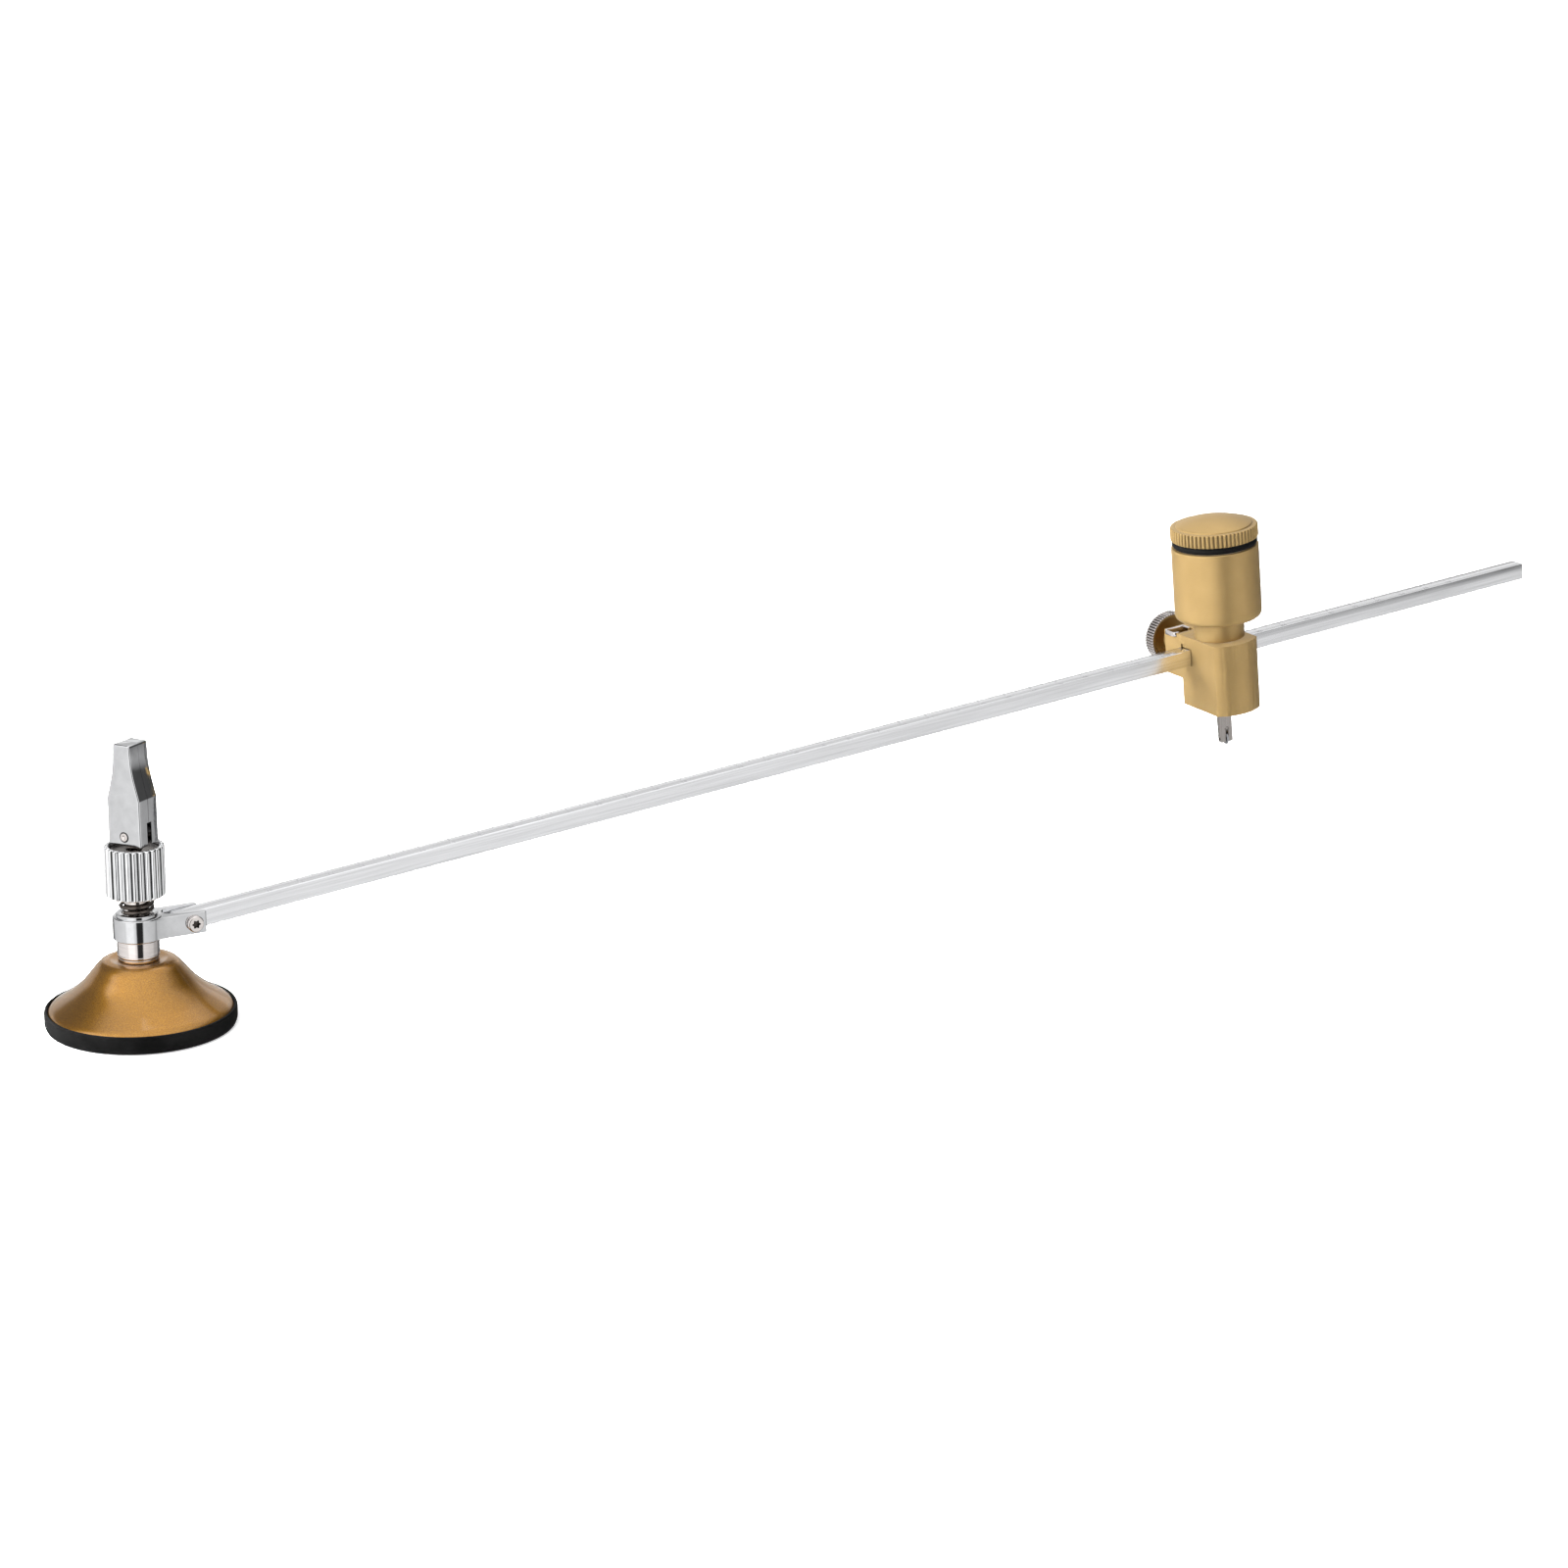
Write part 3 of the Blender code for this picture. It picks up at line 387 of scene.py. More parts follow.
def turned(name, profile, closed=True, steps=fine_steps, ripple=None):
    """A profile of (radius, height) turned round Z. A ripple lowers the radius at an angle."""
    shape = bmesh.new()
    # How deep each vertex lies in its groove, the mask for painted shade in the grooves
    mark = shape.verts.layers.float.new("groove")
    angles = [2 * pi * i / steps for i in range(steps)]
    dips = [[ripple(angle, point[0]) if ripple else 0.0 for angle in angles] for point in profile]
    deepest = max(max(row) for row in dips) or 1.0
    rings = []
    for (radius, height), row in zip(profile, dips):
        if radius < axis_limit:
            rings.append([shape.verts.new((0.0, 0.0, height))])
            continue
        ring = []
        for angle, dip in zip(angles, row):
            ring.append(shape.verts.new((*polar(radius - dip, angle), height)))
            ring[-1][mark] = dip / deepest
        rings.append(ring)
    skin(shape, rings + rings[:1] if closed else rings)
    return smooth(from_bmesh(name, shape))


def prism(name, points, low, high):
    """A flat outline in X and Y, carried from one height to another."""
    shape = bmesh.new()
    rings = [[shape.verts.new((*point, height)) for point in points] for height in (low, high)]
    shape.faces.new(rings[0])
    shape.faces.new(rings[1])
    skin(shape, rings)
    return from_bmesh(name, shape)


def box(name, low, high):
    corners = [(low[0], low[1]), (high[0], low[1]), (high[0], high[1]), (low[0], high[1])]
    return prism(name, corners, low[2], high[2])


def knurled(name, profile, teeth, root, sharpness, closed=True):
    """A turned profile with even grooves, cut down to a root radius."""

    def groove(angle, here):
        return max(0.0, here - root) * (0.5 - 0.5 * cos(angle * teeth)) ** sharpness

    return turned(name, profile, closed, teeth * knurl_points, groove)


def laid(made, turn=Matrix.Identity(4), at=(0.0, 0.0, 0.0)):
    """Turns and moves a piece's mesh within its own frame."""
    made.data.transform(Matrix.Translation(at) @ turn)
    return made


def rod(name, radius, low, high, turn=Matrix.Identity(4), at=(0.0, 0.0, 0.0), steps=rod_steps):
    """A round bar along Z, turned and moved to its place."""
    outline = arc((0.0, 0.0), radius, 0, 360, steps)[:-1]
    return laid(prism(name, outline, low, high), turn, at)


def evaluated(made):
    """A piece's mesh with its modifiers applied, or a figure's filled outline."""
    bpy.context.view_layer.update()
    graph = bpy.context.evaluated_depsgraph_get()
    return bpy.data.meshes.new_from_object(made.evaluated_get(graph))


def assign(target, settings):
    for name, value in settings.items():
        setattr(target, name, value)


def modify(made, kind, **settings):
    """Applies a modifier to a piece's mesh."""
    assign(made.modifiers.new("step", kind), settings)
    mesh = evaluated(made)
    made.modifiers.clear()
    made.data = mesh


def cut(made, *others, operation="DIFFERENCE"):
    """Cuts a piece by other ones, which are used up."""
    for other in others:
        modify(made, "BOOLEAN", object=other, operation=operation)
        bpy.data.objects.remove(other, do_unlink=True)


def join(made, *others):
    cut(made, *others, operation="UNION")


def bevelled(made, width=bevel_width, segments=bevel_segments, angle=smooth_angle):
    """Rounds the edges of a piece where they turn by more than an angle."""
    limit = {"limit_method": "ANGLE", "angle_limit": radians(angle), "use_clamp_overlap": True}
    modify(made, "BEVEL", width=width, segments=segments, **limit)
    return smooth(made, bevelled_angle)


def tube(name, points, radius):
    """A round wire along a line of points, with flat ends."""
    shape = bmesh.new()
    rings = []
    for i, point in enumerate(points):
        before = points[max(i - 1, 0)]
        after = points[min(i + 1, len(points) - 1)]
        forward = (after - before).normalized()
        side = forward.cross(Vector((0.0, 0.0, 1.0))).normalized()
        up = side.cross(forward)
        ring = []
        for k in range(spring_wire_points):
            angle = 2 * pi * k / spring_wire_points
            offset = side * cos(angle) + up * sin(angle)
            ring.append(shape.verts.new(point + offset * radius))
        rings.append(ring)
    skin(shape, rings)
    shape.faces.new(rings[0])
    shape.faces.new(rings[-1])
    return smooth(from_bmesh(name, shape), wide_angle)


def feed(node, inputs):
    """Gives a node its inputs, as plain values or as outputs to link."""
    for key, value in inputs.items():
        if isinstance(value, bpy.types.NodeSocket):
            node.id_data.links.new(value, node.inputs[key])
        else:
            node.inputs[key].default_value = value


def new_node(tree, kind, inputs=None, **settings):
    """A new shader node with its settings and its inputs."""
    node = tree.nodes.new(kind)
    assign(node, settings)
    feed(node, inputs or {})
    return node


def new_finish(name, metallic, roughness):
    """Starts a finish with its plain values. Gives its node tree and its shader."""
    finishes[name] = bpy.data.materials.new(name)
    finishes[name].use_nodes = True
    tree = finishes[name].node_tree
    shader = tree.nodes["Principled BSDF"]
    feed(shader, {"Metallic": metallic, "Roughness": roughness})
    return tree, shader


def noise(tree, scale, detail=3.0, stretch=(1.0, 1.0, 1.0)):
    """A noise value over the piece's own space, stretched along one axis where asked."""
    where = new_node(tree, "ShaderNodeTexCoord").outputs["Object"]
    mapping = new_node(tree, "ShaderNodeMapping", {"Vector": where, "Scale": stretch})
    inputs = {"Vector": mapping.outputs["Vector"], "Scale": scale, "Detail": detail}
    return new_node(tree, "ShaderNodeTexNoise", inputs).outputs["Fac"]


def ranged(tree, value, start, end, low=0.0, high=1.0, kind="SMOOTHSTEP"):
    """A value carried from one range to another."""
    inputs = {"Value": value, "From Min": start, "From Max": end, "To Min": low, "To Max": high}
    return new_node(tree, "ShaderNodeMapRange", inputs, interpolation_type=kind).outputs["Result"]


def spread(tree, value, low, high):
    """A noise value carried to the range of a finish."""
    return ranged(tree, value, noise_low, noise_high, low, high, "LINEAR")


def colours(tree, value, *stops):
    """A colour from a value, through (place, colour) stops."""
    ramp = new_node(tree, "ShaderNodeValToRGB", {"Fac": value})
    elements = ramp.color_ramp.elements
    while len(elements) < len(stops):
        elements.new(0.5)
    for element, (where, colour) in zip(elements, stops):
        element.position = where
        element.color = (*colour, 1.0)
    return ramp.outputs["Color"]


def bump(tree, shader, height, distance, strength):
    inputs = {"Height": height, "Distance": distance, "Strength": strength}
    step = new_node(tree, "ShaderNodeBump", inputs)
    feed(shader, {"Normal": step.outputs["Normal"]})


def grimed(tree, shade, start, full, left):
    """Painted shade: a colour that darkens to a share of itself in the grooves that the mesh marks."""
    mark = new_node(tree, "ShaderNodeAttribute", attribute_name="groove").outputs["Fac"]
    amount = ranged(tree, mark, start, full, 1.0, left)
    inputs = {0: shade, "Scale": amount}
    return new_node(tree, "ShaderNodeVectorMath", inputs, operation="SCALE").outputs["Vector"]


def make_rubber():
    tree, shader = new_finish("rubber", metallic=0.0, roughness=0.5)
    grain = noise(tree, scale=2600.0)
    dust = noise(tree, scale=90.0, detail=5.0)
    shade = colours(tree, dust, (0.35, (0.002, 0.002, 0.002)), (0.75, (0.006, 0.006, 0.006)))
    rough = spread(tree, dust, 0.40, 0.58)
    feed(shader, {"Base Color": shade, "Roughness": rough, "Specular IOR Level": 0.05})
    bump(tree, shader, grain, distance=0.03 * MM, strength=0.5)


def make_gold_lacquer():
    """Orange gold paint with fine metal flake under a clear coat."""
    tree, shader = new_finish("gold_lacquer", metallic=1.0, roughness=0.34)
    flake = noise(tree, scale=5200.0, detail=1.0)
    cloud = noise(tree, scale=45.0, detail=4.0)
    deep = (0.30, (0.32, 0.162, 0.018))
    middle = (0.52, (0.47, 0.258, 0.036))
    bright = (0.72, (0.65, 0.405, 0.075))
    inputs = {
        "Base Color": colours(tree, flake, deep, middle, bright),
        "Roughness": spread(tree, cloud, 0.34, 0.42),
        "Coat Weight": 1.0,
        "Coat Roughness": 0.06,
        "Coat IOR": 1.6,
        "Coat Tint": (1.0, 0.84, 0.58, 1.0),
        "Sheen Weight": 0.08,
        "Sheen Roughness": 0.25,
    }
    feed(shader, inputs)
    bump(tree, shader, flake, distance=0.012 * MM, strength=0.35)


def make_champagne_gold():
    """Bead-blasted aluminium, anodised a pale gold."""
    tree, shader = new_finish("champagne_gold", metallic=0.82, roughness=0.43)
    grain = noise(tree, scale=3600.0, detail=2.0)
    cloud = noise(tree, scale=70.0, detail=5.0)
    shade = colours(tree, cloud, (0.30, (0.39, 0.262, 0.106)), (0.70, (0.44, 0.298, 0.124)))
    # Painted shade: the gold darkens in the knurl's grooves
    shade = grimed(tree, shade, start=0.25, full=0.9, left=0.42)
    feed(shader, {"Base Color": shade, "Roughness": spread(tree, grain, 0.38, 0.48)})
    bump(tree, shader, grain, distance=0.02 * MM, strength=0.7)


def make_plated(name, colour, roughness, wave, depth, streak=(1.0, 1.0, 1.0), left=0.08):
    """Bright plated metal: gentle waves under the plating, a thin haze of wear, and painted shade in the grooves.
    """
    tree, shader = new_finish(name, 1.0, roughness)
    waves = noise(tree, wave, detail=2.0)
    haze = noise(tree, scale=260.0, detail=6.0, stretch=streak)
    worn = tuple(part * plating_wear for part in colour)
    shade = colours(tree, haze, (0.35, worn), (0.65, colour))
    # Painted shade: the colour darkens in the grooves
    shade = grimed(tree, shade, start=0.6, full=1.0, left=left)
    rough = spread(tree, haze, *(roughness * share for share in plating_haze))
    feed(shader, {"Base Color": shade, "Roughness": rough})
    bump(tree, shader, waves, distance=0.05 * MM, strength=depth)


def make_brushed(name, colour, roughness, along, depth=0.012 * MM):
    """Drawn or turned metal, with fine lines along some axes of the piece."""
    tree, shader = new_finish(name, 1.0, roughness)
    stretch = tuple(brushed_stretch if axis in along else 1.0 for axis in "xyz")
    lines = noise(tree, scale=1500.0, stretch=stretch)
    cloud = noise(tree, scale=60.0, detail=4.0)
    worn = tuple(part * brushed_wear for part in colour)
    shade = colours(tree, lines, (0.3, worn), (0.7, colour))
    rough = spread(tree, cloud, *(roughness * share for share in brushed_haze))
    feed(shader, {"Base Color": shade, "Roughness": rough})
    bump(tree, shader, lines, depth, strength=0.6)


def make_felt():
    tree, shader = new_finish("felt", metallic=0.0, roughness=0.95)
    fibre = noise(tree, scale=1800.0, detail=5.0, stretch=(1.0, 1.0, 0.25))
    shade = colours(tree, fibre, (0.3, (0.55, 0.51, 0.42)), (0.7, (0.76, 0.72, 0.62)))
    feed(shader, {"Base Color": shade})
    bump(tree, shader, fibre, distance=0.1 * MM, strength=0.8)


def make_etched():
    """The etched marks and figures of the scale."""
    tree, shader = new_finish("etched", metallic=0.6, roughness=0.6)
    worn = noise(tree, scale=700.0, detail=4.0)
    shade = colours(tree, worn, (0.35, (0.16, 0.16, 0.17)), (0.7, (0.34, 0.34, 0.35)))
    feed(shader, {"Base Color": shade})


make_rubber()
make_gold_lacquer()
make_champagne_gold()
# Plated: colour, roughness, scale and depth of the waves, stretch of the haze, share of colour kept in the painted
# groove shade
make_plated("chrome", (0.86, 0.865, 0.875), 0.04, 160.0, 0.3, left=0.3)
make_plated("arm_chrome", (0.65, 0.655, 0.665), 0.05, 160.0, 0.3)
make_plated("cast_chrome", (0.66, 0.665, 0.675), 0.07, 190.0, 0.4)
make_plated("nickel", (0.78, 0.73, 0.705), 0.07, 300.0, 0.12, (1.0, 1.0, 12.0))
# A near-black finish for painted shade and dirt in the bracket screw's socket
make_plated("recess", (0.07, 0.06, 0.055), 0.3, 300.0, 0.1)
# Brushed: colour, roughness, axes that the lines follow, depth of the lines
make_brushed("spring_steel", (0.13, 0.112, 0.10), 0.24, "xy")
make_brushed("bar_metal", (0.885, 0.89, 0.905), 0.2, "x", 0.0015 * MM)
make_brushed("brass", (0.36, 0.24, 0.10), 0.28, "xz")
make_brushed("wheel_steel", (0.30, 0.30, 0.31), 0.25, "yz")
make_brushed("holder_steel", (0.43, 0.40, 0.38), 0.28, "z")
make_felt()
make_etched()


def paint(made, finish):
    made.data.materials.clear()
    made.data.materials.append(finishes[finish])


def dress(made, node, place=foot_frame, finish=None):
    """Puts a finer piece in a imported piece's place, on its body and with its finish."""
    made.matrix_world = place
    paint(made, finish or slot_of[node])
    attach(made, body_of[node])
    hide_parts(node)
    return made


def make_rubber_disc():
    low, high = extent("rubber_disc")
    ring = high.x * rubber_ring_share
    points = [
        (high.x - rubber_lip, rubber_web),
        (high.x - rubber_lip, high.z, crisp_edge),
        (high.x, high.z, rubber_shoulder),
        (high.x, rubber_taper_height, round_edge),
        (high.x - rubber_taper, low.z, round_edge),
        (ring, low.z),
        (ring - rubber_ring_depth, low.z + rubber_ring_depth),
        (ring - 2 * rubber_ring_depth, low.z),
    ]
    profile = to_axis(rubber_web, points, low.z)
    dress(turned("foot_rubber", profile, closed=False), "rubber_disc")


def dome_outline(low, high, hole):
    """The dome's outer line, drawn as one smooth curve through its shares."""
    rise = high.z - low.z
    knots = [(hole, high.z - dome_flat_drop)]
    knots += [(radius * high.x, low.z + height * rise) for radius, height in dome_shares]
    line = []
    for i in range(len(knots) - 1):
        points = [Vector(knots[max(0, min(len(knots) - 1, i + k))]) for k in (-1, 0, 1, 2)]
        before, start, end, after = points
        for step in range(dome_smooth_steps):
            t = step / dome_smooth_steps
            bend = (2 * before - 5 * start + 4 * end - after) * t**2
            twist = (3 * start - before - 3 * end + after) * t**3
            line.append(0.5 * (2 * start + (end - before) * t + bend + twist))
    return line + [Vector(knots[-1])]


def make_dome_cover():
    low, high = extent("dome_cover")
    hole = stud_radius + run_gap
    outer = dome_outline(low, high, hole)
    inner = []
    for i, point in enumerate(outer):
        along = (outer[min(i + 1, len(outer) - 1)] - outer[max(i - 1, 0)]).normalized()
        inward = Vector((along.y, -along.x)) * dome_wall
        inner.append(Vector((max(hole, point.x + inward.x), max(low.z, point.y + inward.y))))
    dress(turned("foot_dome", outer + inner[::-1]), "dome_cover")


def make_washer(name, node, inner, finish=None):
    low, high = extent(node)
    radius = reach(node)
    points = [(radius, high.z), (radius, low.z), (inner, low.z), (inner, high.z)]
    dress(turned(name, softened(points, crisp_edge)), node, finish=finish)


def make_post():
    low, high = extent("post_sleeve")
    radius = reach("post_sleeve")
    shoulder = extent("arm_bracket")[0].z - seat_gap
    bottom = shoulder - post_body_height
    journal_top = extent("arm_bracket")[1].z - run_gap
    groove = bottom + post_groove_rise
    points = [
        (neck_radius, high.z),
        (neck_radius, journal_top, sharp),
        (journal_radius, journal_top),
        (journal_radius, shoulder, sharp),
        (radius, shoulder),
        (radius, groove + post_groove_depth, sharp),
        (radius - post_groove_depth, groove),
        (radius, groove - post_groove_depth, sharp),
        (radius, bottom),
        (stud_radius, bottom, sharp),
        (stud_radius, low.z),
        (rod_bore, low.z),
        (rod_bore, high.z),
    ]
    dress(turned("post_turned", softened(points)), "post_sleeve")


def make_arm_bracket():
    low, high = extent("arm_bracket")
    bore = journal_radius + run_gap
    ring_top = high.z - arm_lip_height
    points = [
        (arm_lip_radius, high.z),
        (arm_lip_radius, ring_top, sharp),
        (arm_ring_radius, ring_top, round_edge),
        (arm_ring_radius, low.z, round_edge),
        (bore, low.z),
        (bore, high.z),
    ]
    made = turned("arm_ring", softened(points))
    fillet_y = arm_half_width + arm_fillet
    fillet_x = sqrt((arm_ring_radius - arm_fillet_sink + arm_fillet) ** 2 - fillet_y**2)
    turn = degrees(atan2(fillet_y, fillet_x))
    corner_x = high.x - arm_end_round
    corner_y = arm_half_width - arm_end_round
    arcs = (
        ((fillet_x, -fillet_y), arm_fillet, 180 - turn, 90),
        ((corner_x, -corner_y), arm_end_round, 270, 360),
        ((corner_x, corner_y), arm_end_round, 0, 90),
        ((fillet_x, fillet_y), arm_fillet, 270, 180 + turn),
    )
    outline = [point for row in arcs for point in arc(*row, arm_fillet_steps)]
    beam = prism("beam", outline, low.z + arm_step, low.z + arm_step + arm_depth)
    join(made, bevelled(beam, arm_edge_round, round_segments, wide_angle))
    start = arm_slot_start + arm_slot_half
    slot_points = arc((start, 0.0), arm_slot_half, 90, 270, round_end_steps)
    slot_points += [(high.x + overrun, -arm_slot_half), (high.x + overrun, arm_slot_half)]
    past = 2 * arm_half_width
    screw_at = middle_of("bracket_screw")
    cut(
        made,
        rod("reamed", bore, low.z - overrun, high.z + overrun, steps=fine_steps),
        prism("slot", slot_points, low.z - overrun, high.z + overrun),
        rod("hole", bracket_screw_radius + run_gap, -past, past, along_y, screw_at),
    )
    bevelled(made, small_edge, fine_segments)
    dress(made, "arm_bracket", finish="arm_chrome")


def make_bracket_screw():
    low, high = extent("bracket_screw")
    head = (high.x - low.x) / 2
    face = -arm_half_width - seat_gap
    points = [
        (near_axis, low.y),
        (head, low.y, round_edge),
        (head, face),
        (bracket_screw_radius, face, sharp),
        (bracket_screw_radius, high.y),
    ]
    profile = to_axis(low.y, points, high.y)
    made = laid(turned("screw_turned", profile, closed=False, steps=screw_steps), along_y)
    lobes = []
    for i in range(bracket_socket_lobes * knurl_points):
        angle = 2 * pi * i / (bracket_socket_lobes * knurl_points)
        dip = bracket_socket_dip * (0.5 - 0.5 * cos(angle * bracket_socket_lobes))
        lobes.append(polar(bracket_socket_radius - dip, angle))
    floor = low.y + bracket_socket_depth
    cut(made, laid(prism("socket", lobes, low.y - overrun, floor), along_y))
    dress(smooth(made), "bracket_screw")
    # Painted shade and dirt: the socket's floor and walls get the near-black finish
    made.data.materials.append(finishes["recess"])
    for polygon in made.data.polygons:
        centre = polygon.center
        inside = hypot(centre.x, centre.z) < bracket_socket_radius
        if inside and low.y + socket_rim < centre.y < floor + socket_rim:
            polygon.material_index = 1
    laid(made, at=middle_of("bracket_screw"))


def make_spring(name, node, turns, wire, start, joint, fixed_end):
    """A helical spring in a imported piece's place. Its joint and which end stays put are not used."""
    low, high = extent(node)
    radius = reach(node) - wire
    length = high.z - low.z
    count = round(turns * spring_turn_points)
    points = []
    for i in range(count + 1):
        angle = start + 2 * pi * turns * i / count
        height = low.z + wire + (length - 2 * wire) * i / count
        points.append(Vector((*polar(radius, angle), height)))
    made = dress(tube(name, points, wire), node)
    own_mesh(made)


def make_knurled_nut():
    low, high = extent("knurled_nut")
    radius = reach("knurled_nut")
    bore = neck_radius + run_gap
    floor = high.z - nut_recess_depth
    points = [
        (radius, high.z, nut_chamfer),
        (radius, low.z, nut_chamfer),
        (bore, low.z),
        (bore, floor),
        (nut_recess_radius, floor, sharp),
        (nut_recess_radius, high.z),
    ]
    root = radius - nut_flute_depth
    made = knurled("nut_fluted", softened(points), nut_flutes, root, flute_sharpness)
    dress(smooth(made, flute_angle), "knurled_nut")


def make_cam_lever():
    low, high = extent("cam_lever", pin_frame)
    right = [
        (high.y, low.z, lever_edge_round),
        (lever_shoulder_half, lever_shoulder_rise, lever_shoulder_cut),
        (lever_neck_half, lever_neck_rise, lever_neck_cut),
        (lever_top_half, high.z, lever_edge_round),
    ]
    left = [(-point[0], point[1], point[2]) for point in reversed(right)]
    shape = softened(right + left)
    made = laid(prism("lever_cast", shape, low.x, high.x), stand_in_yz)
    bevelled(made, lever_edge_round, round_segments, wide_angle)
    middle = Vector((0.0, (low.z + high.z) / 2))
    grown = [point + (point - middle).normalized() * lever_seam_height for point in shape]
    join(made, laid(prism("seam", grown, -lever_seam_half, lever_seam_half), stand_in_yz))
    slot = box(
        "slot",
        (-lever_slot_half, low.y - overrun, low.z - overrun),
        (lever_slot_half, high.y + overrun, lever_slot_rise),
    )
    past = high.x + overrun
    cut(made, slot, rod("hole", lever_pin_radius + pin_hole_gap, low.x - overrun, past, along_x))
    dress(smooth(made, lever_angle), "cam_lever", pin_frame, "cast_chrome")


def make_lever_pin():
    low, high = extent("lever_pin", pin_frame)
    points = [
        (pin_dimple_radius, high.x),
        (lever_pin_radius, high.x),
        (lever_pin_radius, low.x),
        (pin_dimple_radius, low.x),
    ]
    profile = to_axis(high.x - pin_dimple_depth, points, low.x + pin_dimple_depth, small_edge)
    made = laid(turned("pin_turned", profile, closed=False, steps=rod_steps), along_x)
    dress(made, "lever_pin", pin_frame, "nickel")


def make_pull_rod():
    low = extent("pull_rod", pin_frame)[0]
    radius = rod_bore - run_gap
    lever_low, lever_high = extent("cam_lever", pin_frame)
    neck_top = -hypot(lever_high.y, lever_low.z) - run_gap
    made = rod("rod_turned", radius, low.z, neck_top)
    tongue_width = sqrt(radius**2 - tongue_half**2)
    foot = (-tongue_half, -tongue_width, neck_top - overrun)
    tongue = box("tongue", foot, (tongue_half, tongue_width, 0.0))
    join(made, tongue, rod("eye", eye_radius, -tongue_half, tongue_half, along_x))
    cut(made, rod("hole", lever_pin_radius + run_gap, -overrun, overrun, along_x))
    dress(smooth(made), "pull_rod", pin_frame)


def make_scale_bar():
    low, high = extent("scale_bar", bar_frame)
    half = bar_side / 2
    outline = arc((low.x + half, 0.0), half, 90, 270, round_end_steps)
    outline += [(high.x, -half), (high.x, half)]
    made = laid(prism("bar_drawn", outline, -half, half), Matrix.Rotation(pi / 2, 4, "X"))
    bevelled(made, bar_edge, angle=wide_angle)
    cut(made, rod("hole", bracket_screw_radius + run_gap, -bar_side, bar_side, along_y))
    dress(smooth(made), "scale_bar", bar_frame)


def add_figure(shape, words, at):
    """Adds a raised figure to a shape."""
    curve = bpy.data.curves.new("figure", "FONT")
    curve.body = words
    curve.size = number_size
    curve.align_x = "CENTER"
    curve.extrude = mark_height / 2
    curve.resolution_u = figure_resolution
    drawn = placed("figure", curve)
    mesh = evaluated(drawn)
    mesh.transform(Matrix.Translation(at))
    shape.from_mesh(mesh)
    bpy.data.objects.remove(drawn, do_unlink=True)
    bpy.data.meshes.remove(mesh)


def make_scale_marks():
    """Etched marks on the bar's top, one per centimetre of cut diameter, with even figures."""
    top = bar_side / 2
    back = top - bar_edge
    middle = top + mark_height / 2
    inset = extent("head_block", head_frame)[1].x
    end = extent("scale_bar", bar_frame)[1].x
    marks = bmesh.new()
    figures = bmesh.new()
    for number in range(first_mark, last_mark + 1):
        x = number * mark_pitch - post_offset_bore - inset
        if x > end - mark_pitch:
            break
        even = number % 2 == 0
        length = long_mark if even else short_mark
        made = bmesh.ops.create_cube(marks, size=1.0)["verts"]
        bmesh.ops.scale(marks, vec=(mark_width, length, mark_height), verts=made)
        bmesh.ops.translate(marks, vec=(x, back - length / 2, middle), verts=made)
        if even:
            add_figure(figures, str(number), (x, bar_edge - top, middle))
    mesh = bpy.data.meshes.new("scale_figures")
    figures.to_mesh(mesh)
    figures.free()
    for made in (from_bmesh("scale_marks", marks), placed("scale_figures", mesh)):
        made.matrix_world = bar_frame
        paint(made, "etched")
        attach(made, "bar")


def make_head_block():
    low, high = extent("head_block", head_frame)
    axis_y = wheel_at.y
    front = axis_y - low.y
    corner_y = -sqrt(max(0.0, front**2 - high.x**2))
    corner = degrees(atan2(corner_y, -high.x)) % 360
    points = [(low.x, head_back_y)]
    points += arc((0.0, axis_y), front, corner, 540 - corner, head_arc_steps)
    points += [(high.x, head_back_y)]
    made = prism("block_machined", points, low.z, high.z)
    join(made, box("lug", (low.x, head_back_y - overrun, lug_bottom), (high.x, high.y, high.z)))
    bevelled(made, angle=wide_angle)
    half = bar_side / 2 + run_gap
    far = high.x + overrun
    clip_low, clip_high = extent("retaining_clip", head_frame)
    on_axis = (0.0, axis_y, 0.0)
    grub_at = (0.0, axis_y, grub_height)
    screw_at = (0.0, 0.0, thumb_at.z)
    past_clip = (clip_high.x + run_gap, clip_high.y + run_gap, high.z + overrun)
    pocket = (low.x + pocket_wall, clip_low.y + clip_sheet, high.z - pocket_depth)
    notch = (-far, clip_low.y - run_gap, clip_bottom - run_gap)
    cut(
        made,
        box("passage", (-far, -half, -half), (far, half, half)),
        box("relief", (-far, half - passage_relief, half), (far, half, half + passage_relief)),
        rod("stem", stem_radius + run_gap, stem_hole_end, high.z + overrun, at=on_axis),
        rod("shank", shank_radius + run_gap, low.z - overrun, shank_hole_end, at=on_axis),
        rod("grub", grub_hole_radius, 0.0, far, along_x, grub_at),
        rod("screw", thumb_shank + run_gap, half / 2, high.y + overrun, along_y, screw_at),
        box("pocket", pocket, past_clip),
        box("notch", notch, past_clip),
    )
    bevelled(made, hair_edge, 1, wide_angle)
    dress(made, "head_block", head_frame)


def make_oil_reservoir():
    low, high = extent("oil_reservoir", cap_frame)
    radius = reach("oil_reservoir", cap_frame)
    block_top = extent("head_block", head_frame)[1].z
    bore = extent("oil_wick", cap_frame)[1].x + run_gap
    points = [
        (radius, high.z, reservoir_lip_round),
        (radius, reservoir_neck_top, reservoir_edge_round),
        (neck_outer_radius, reservoir_neck_top, reservoir_neck_round),
        (neck_outer_radius, block_top + seat_gap),
        (stem_radius, block_top + seat_gap, sharp),
        (stem_radius, low.z),
        (bore, low.z),
        (bore, reservoir_floor),
        (reservoir_bore_radius, reservoir_floor),
        (reservoir_bore_radius, high.z),
    ]
    made = turned("reservoir_turned", softened(points, steps=reservoir_fillet_steps))
    dress(made, "oil_reservoir", cap_frame).visible_glossy = False


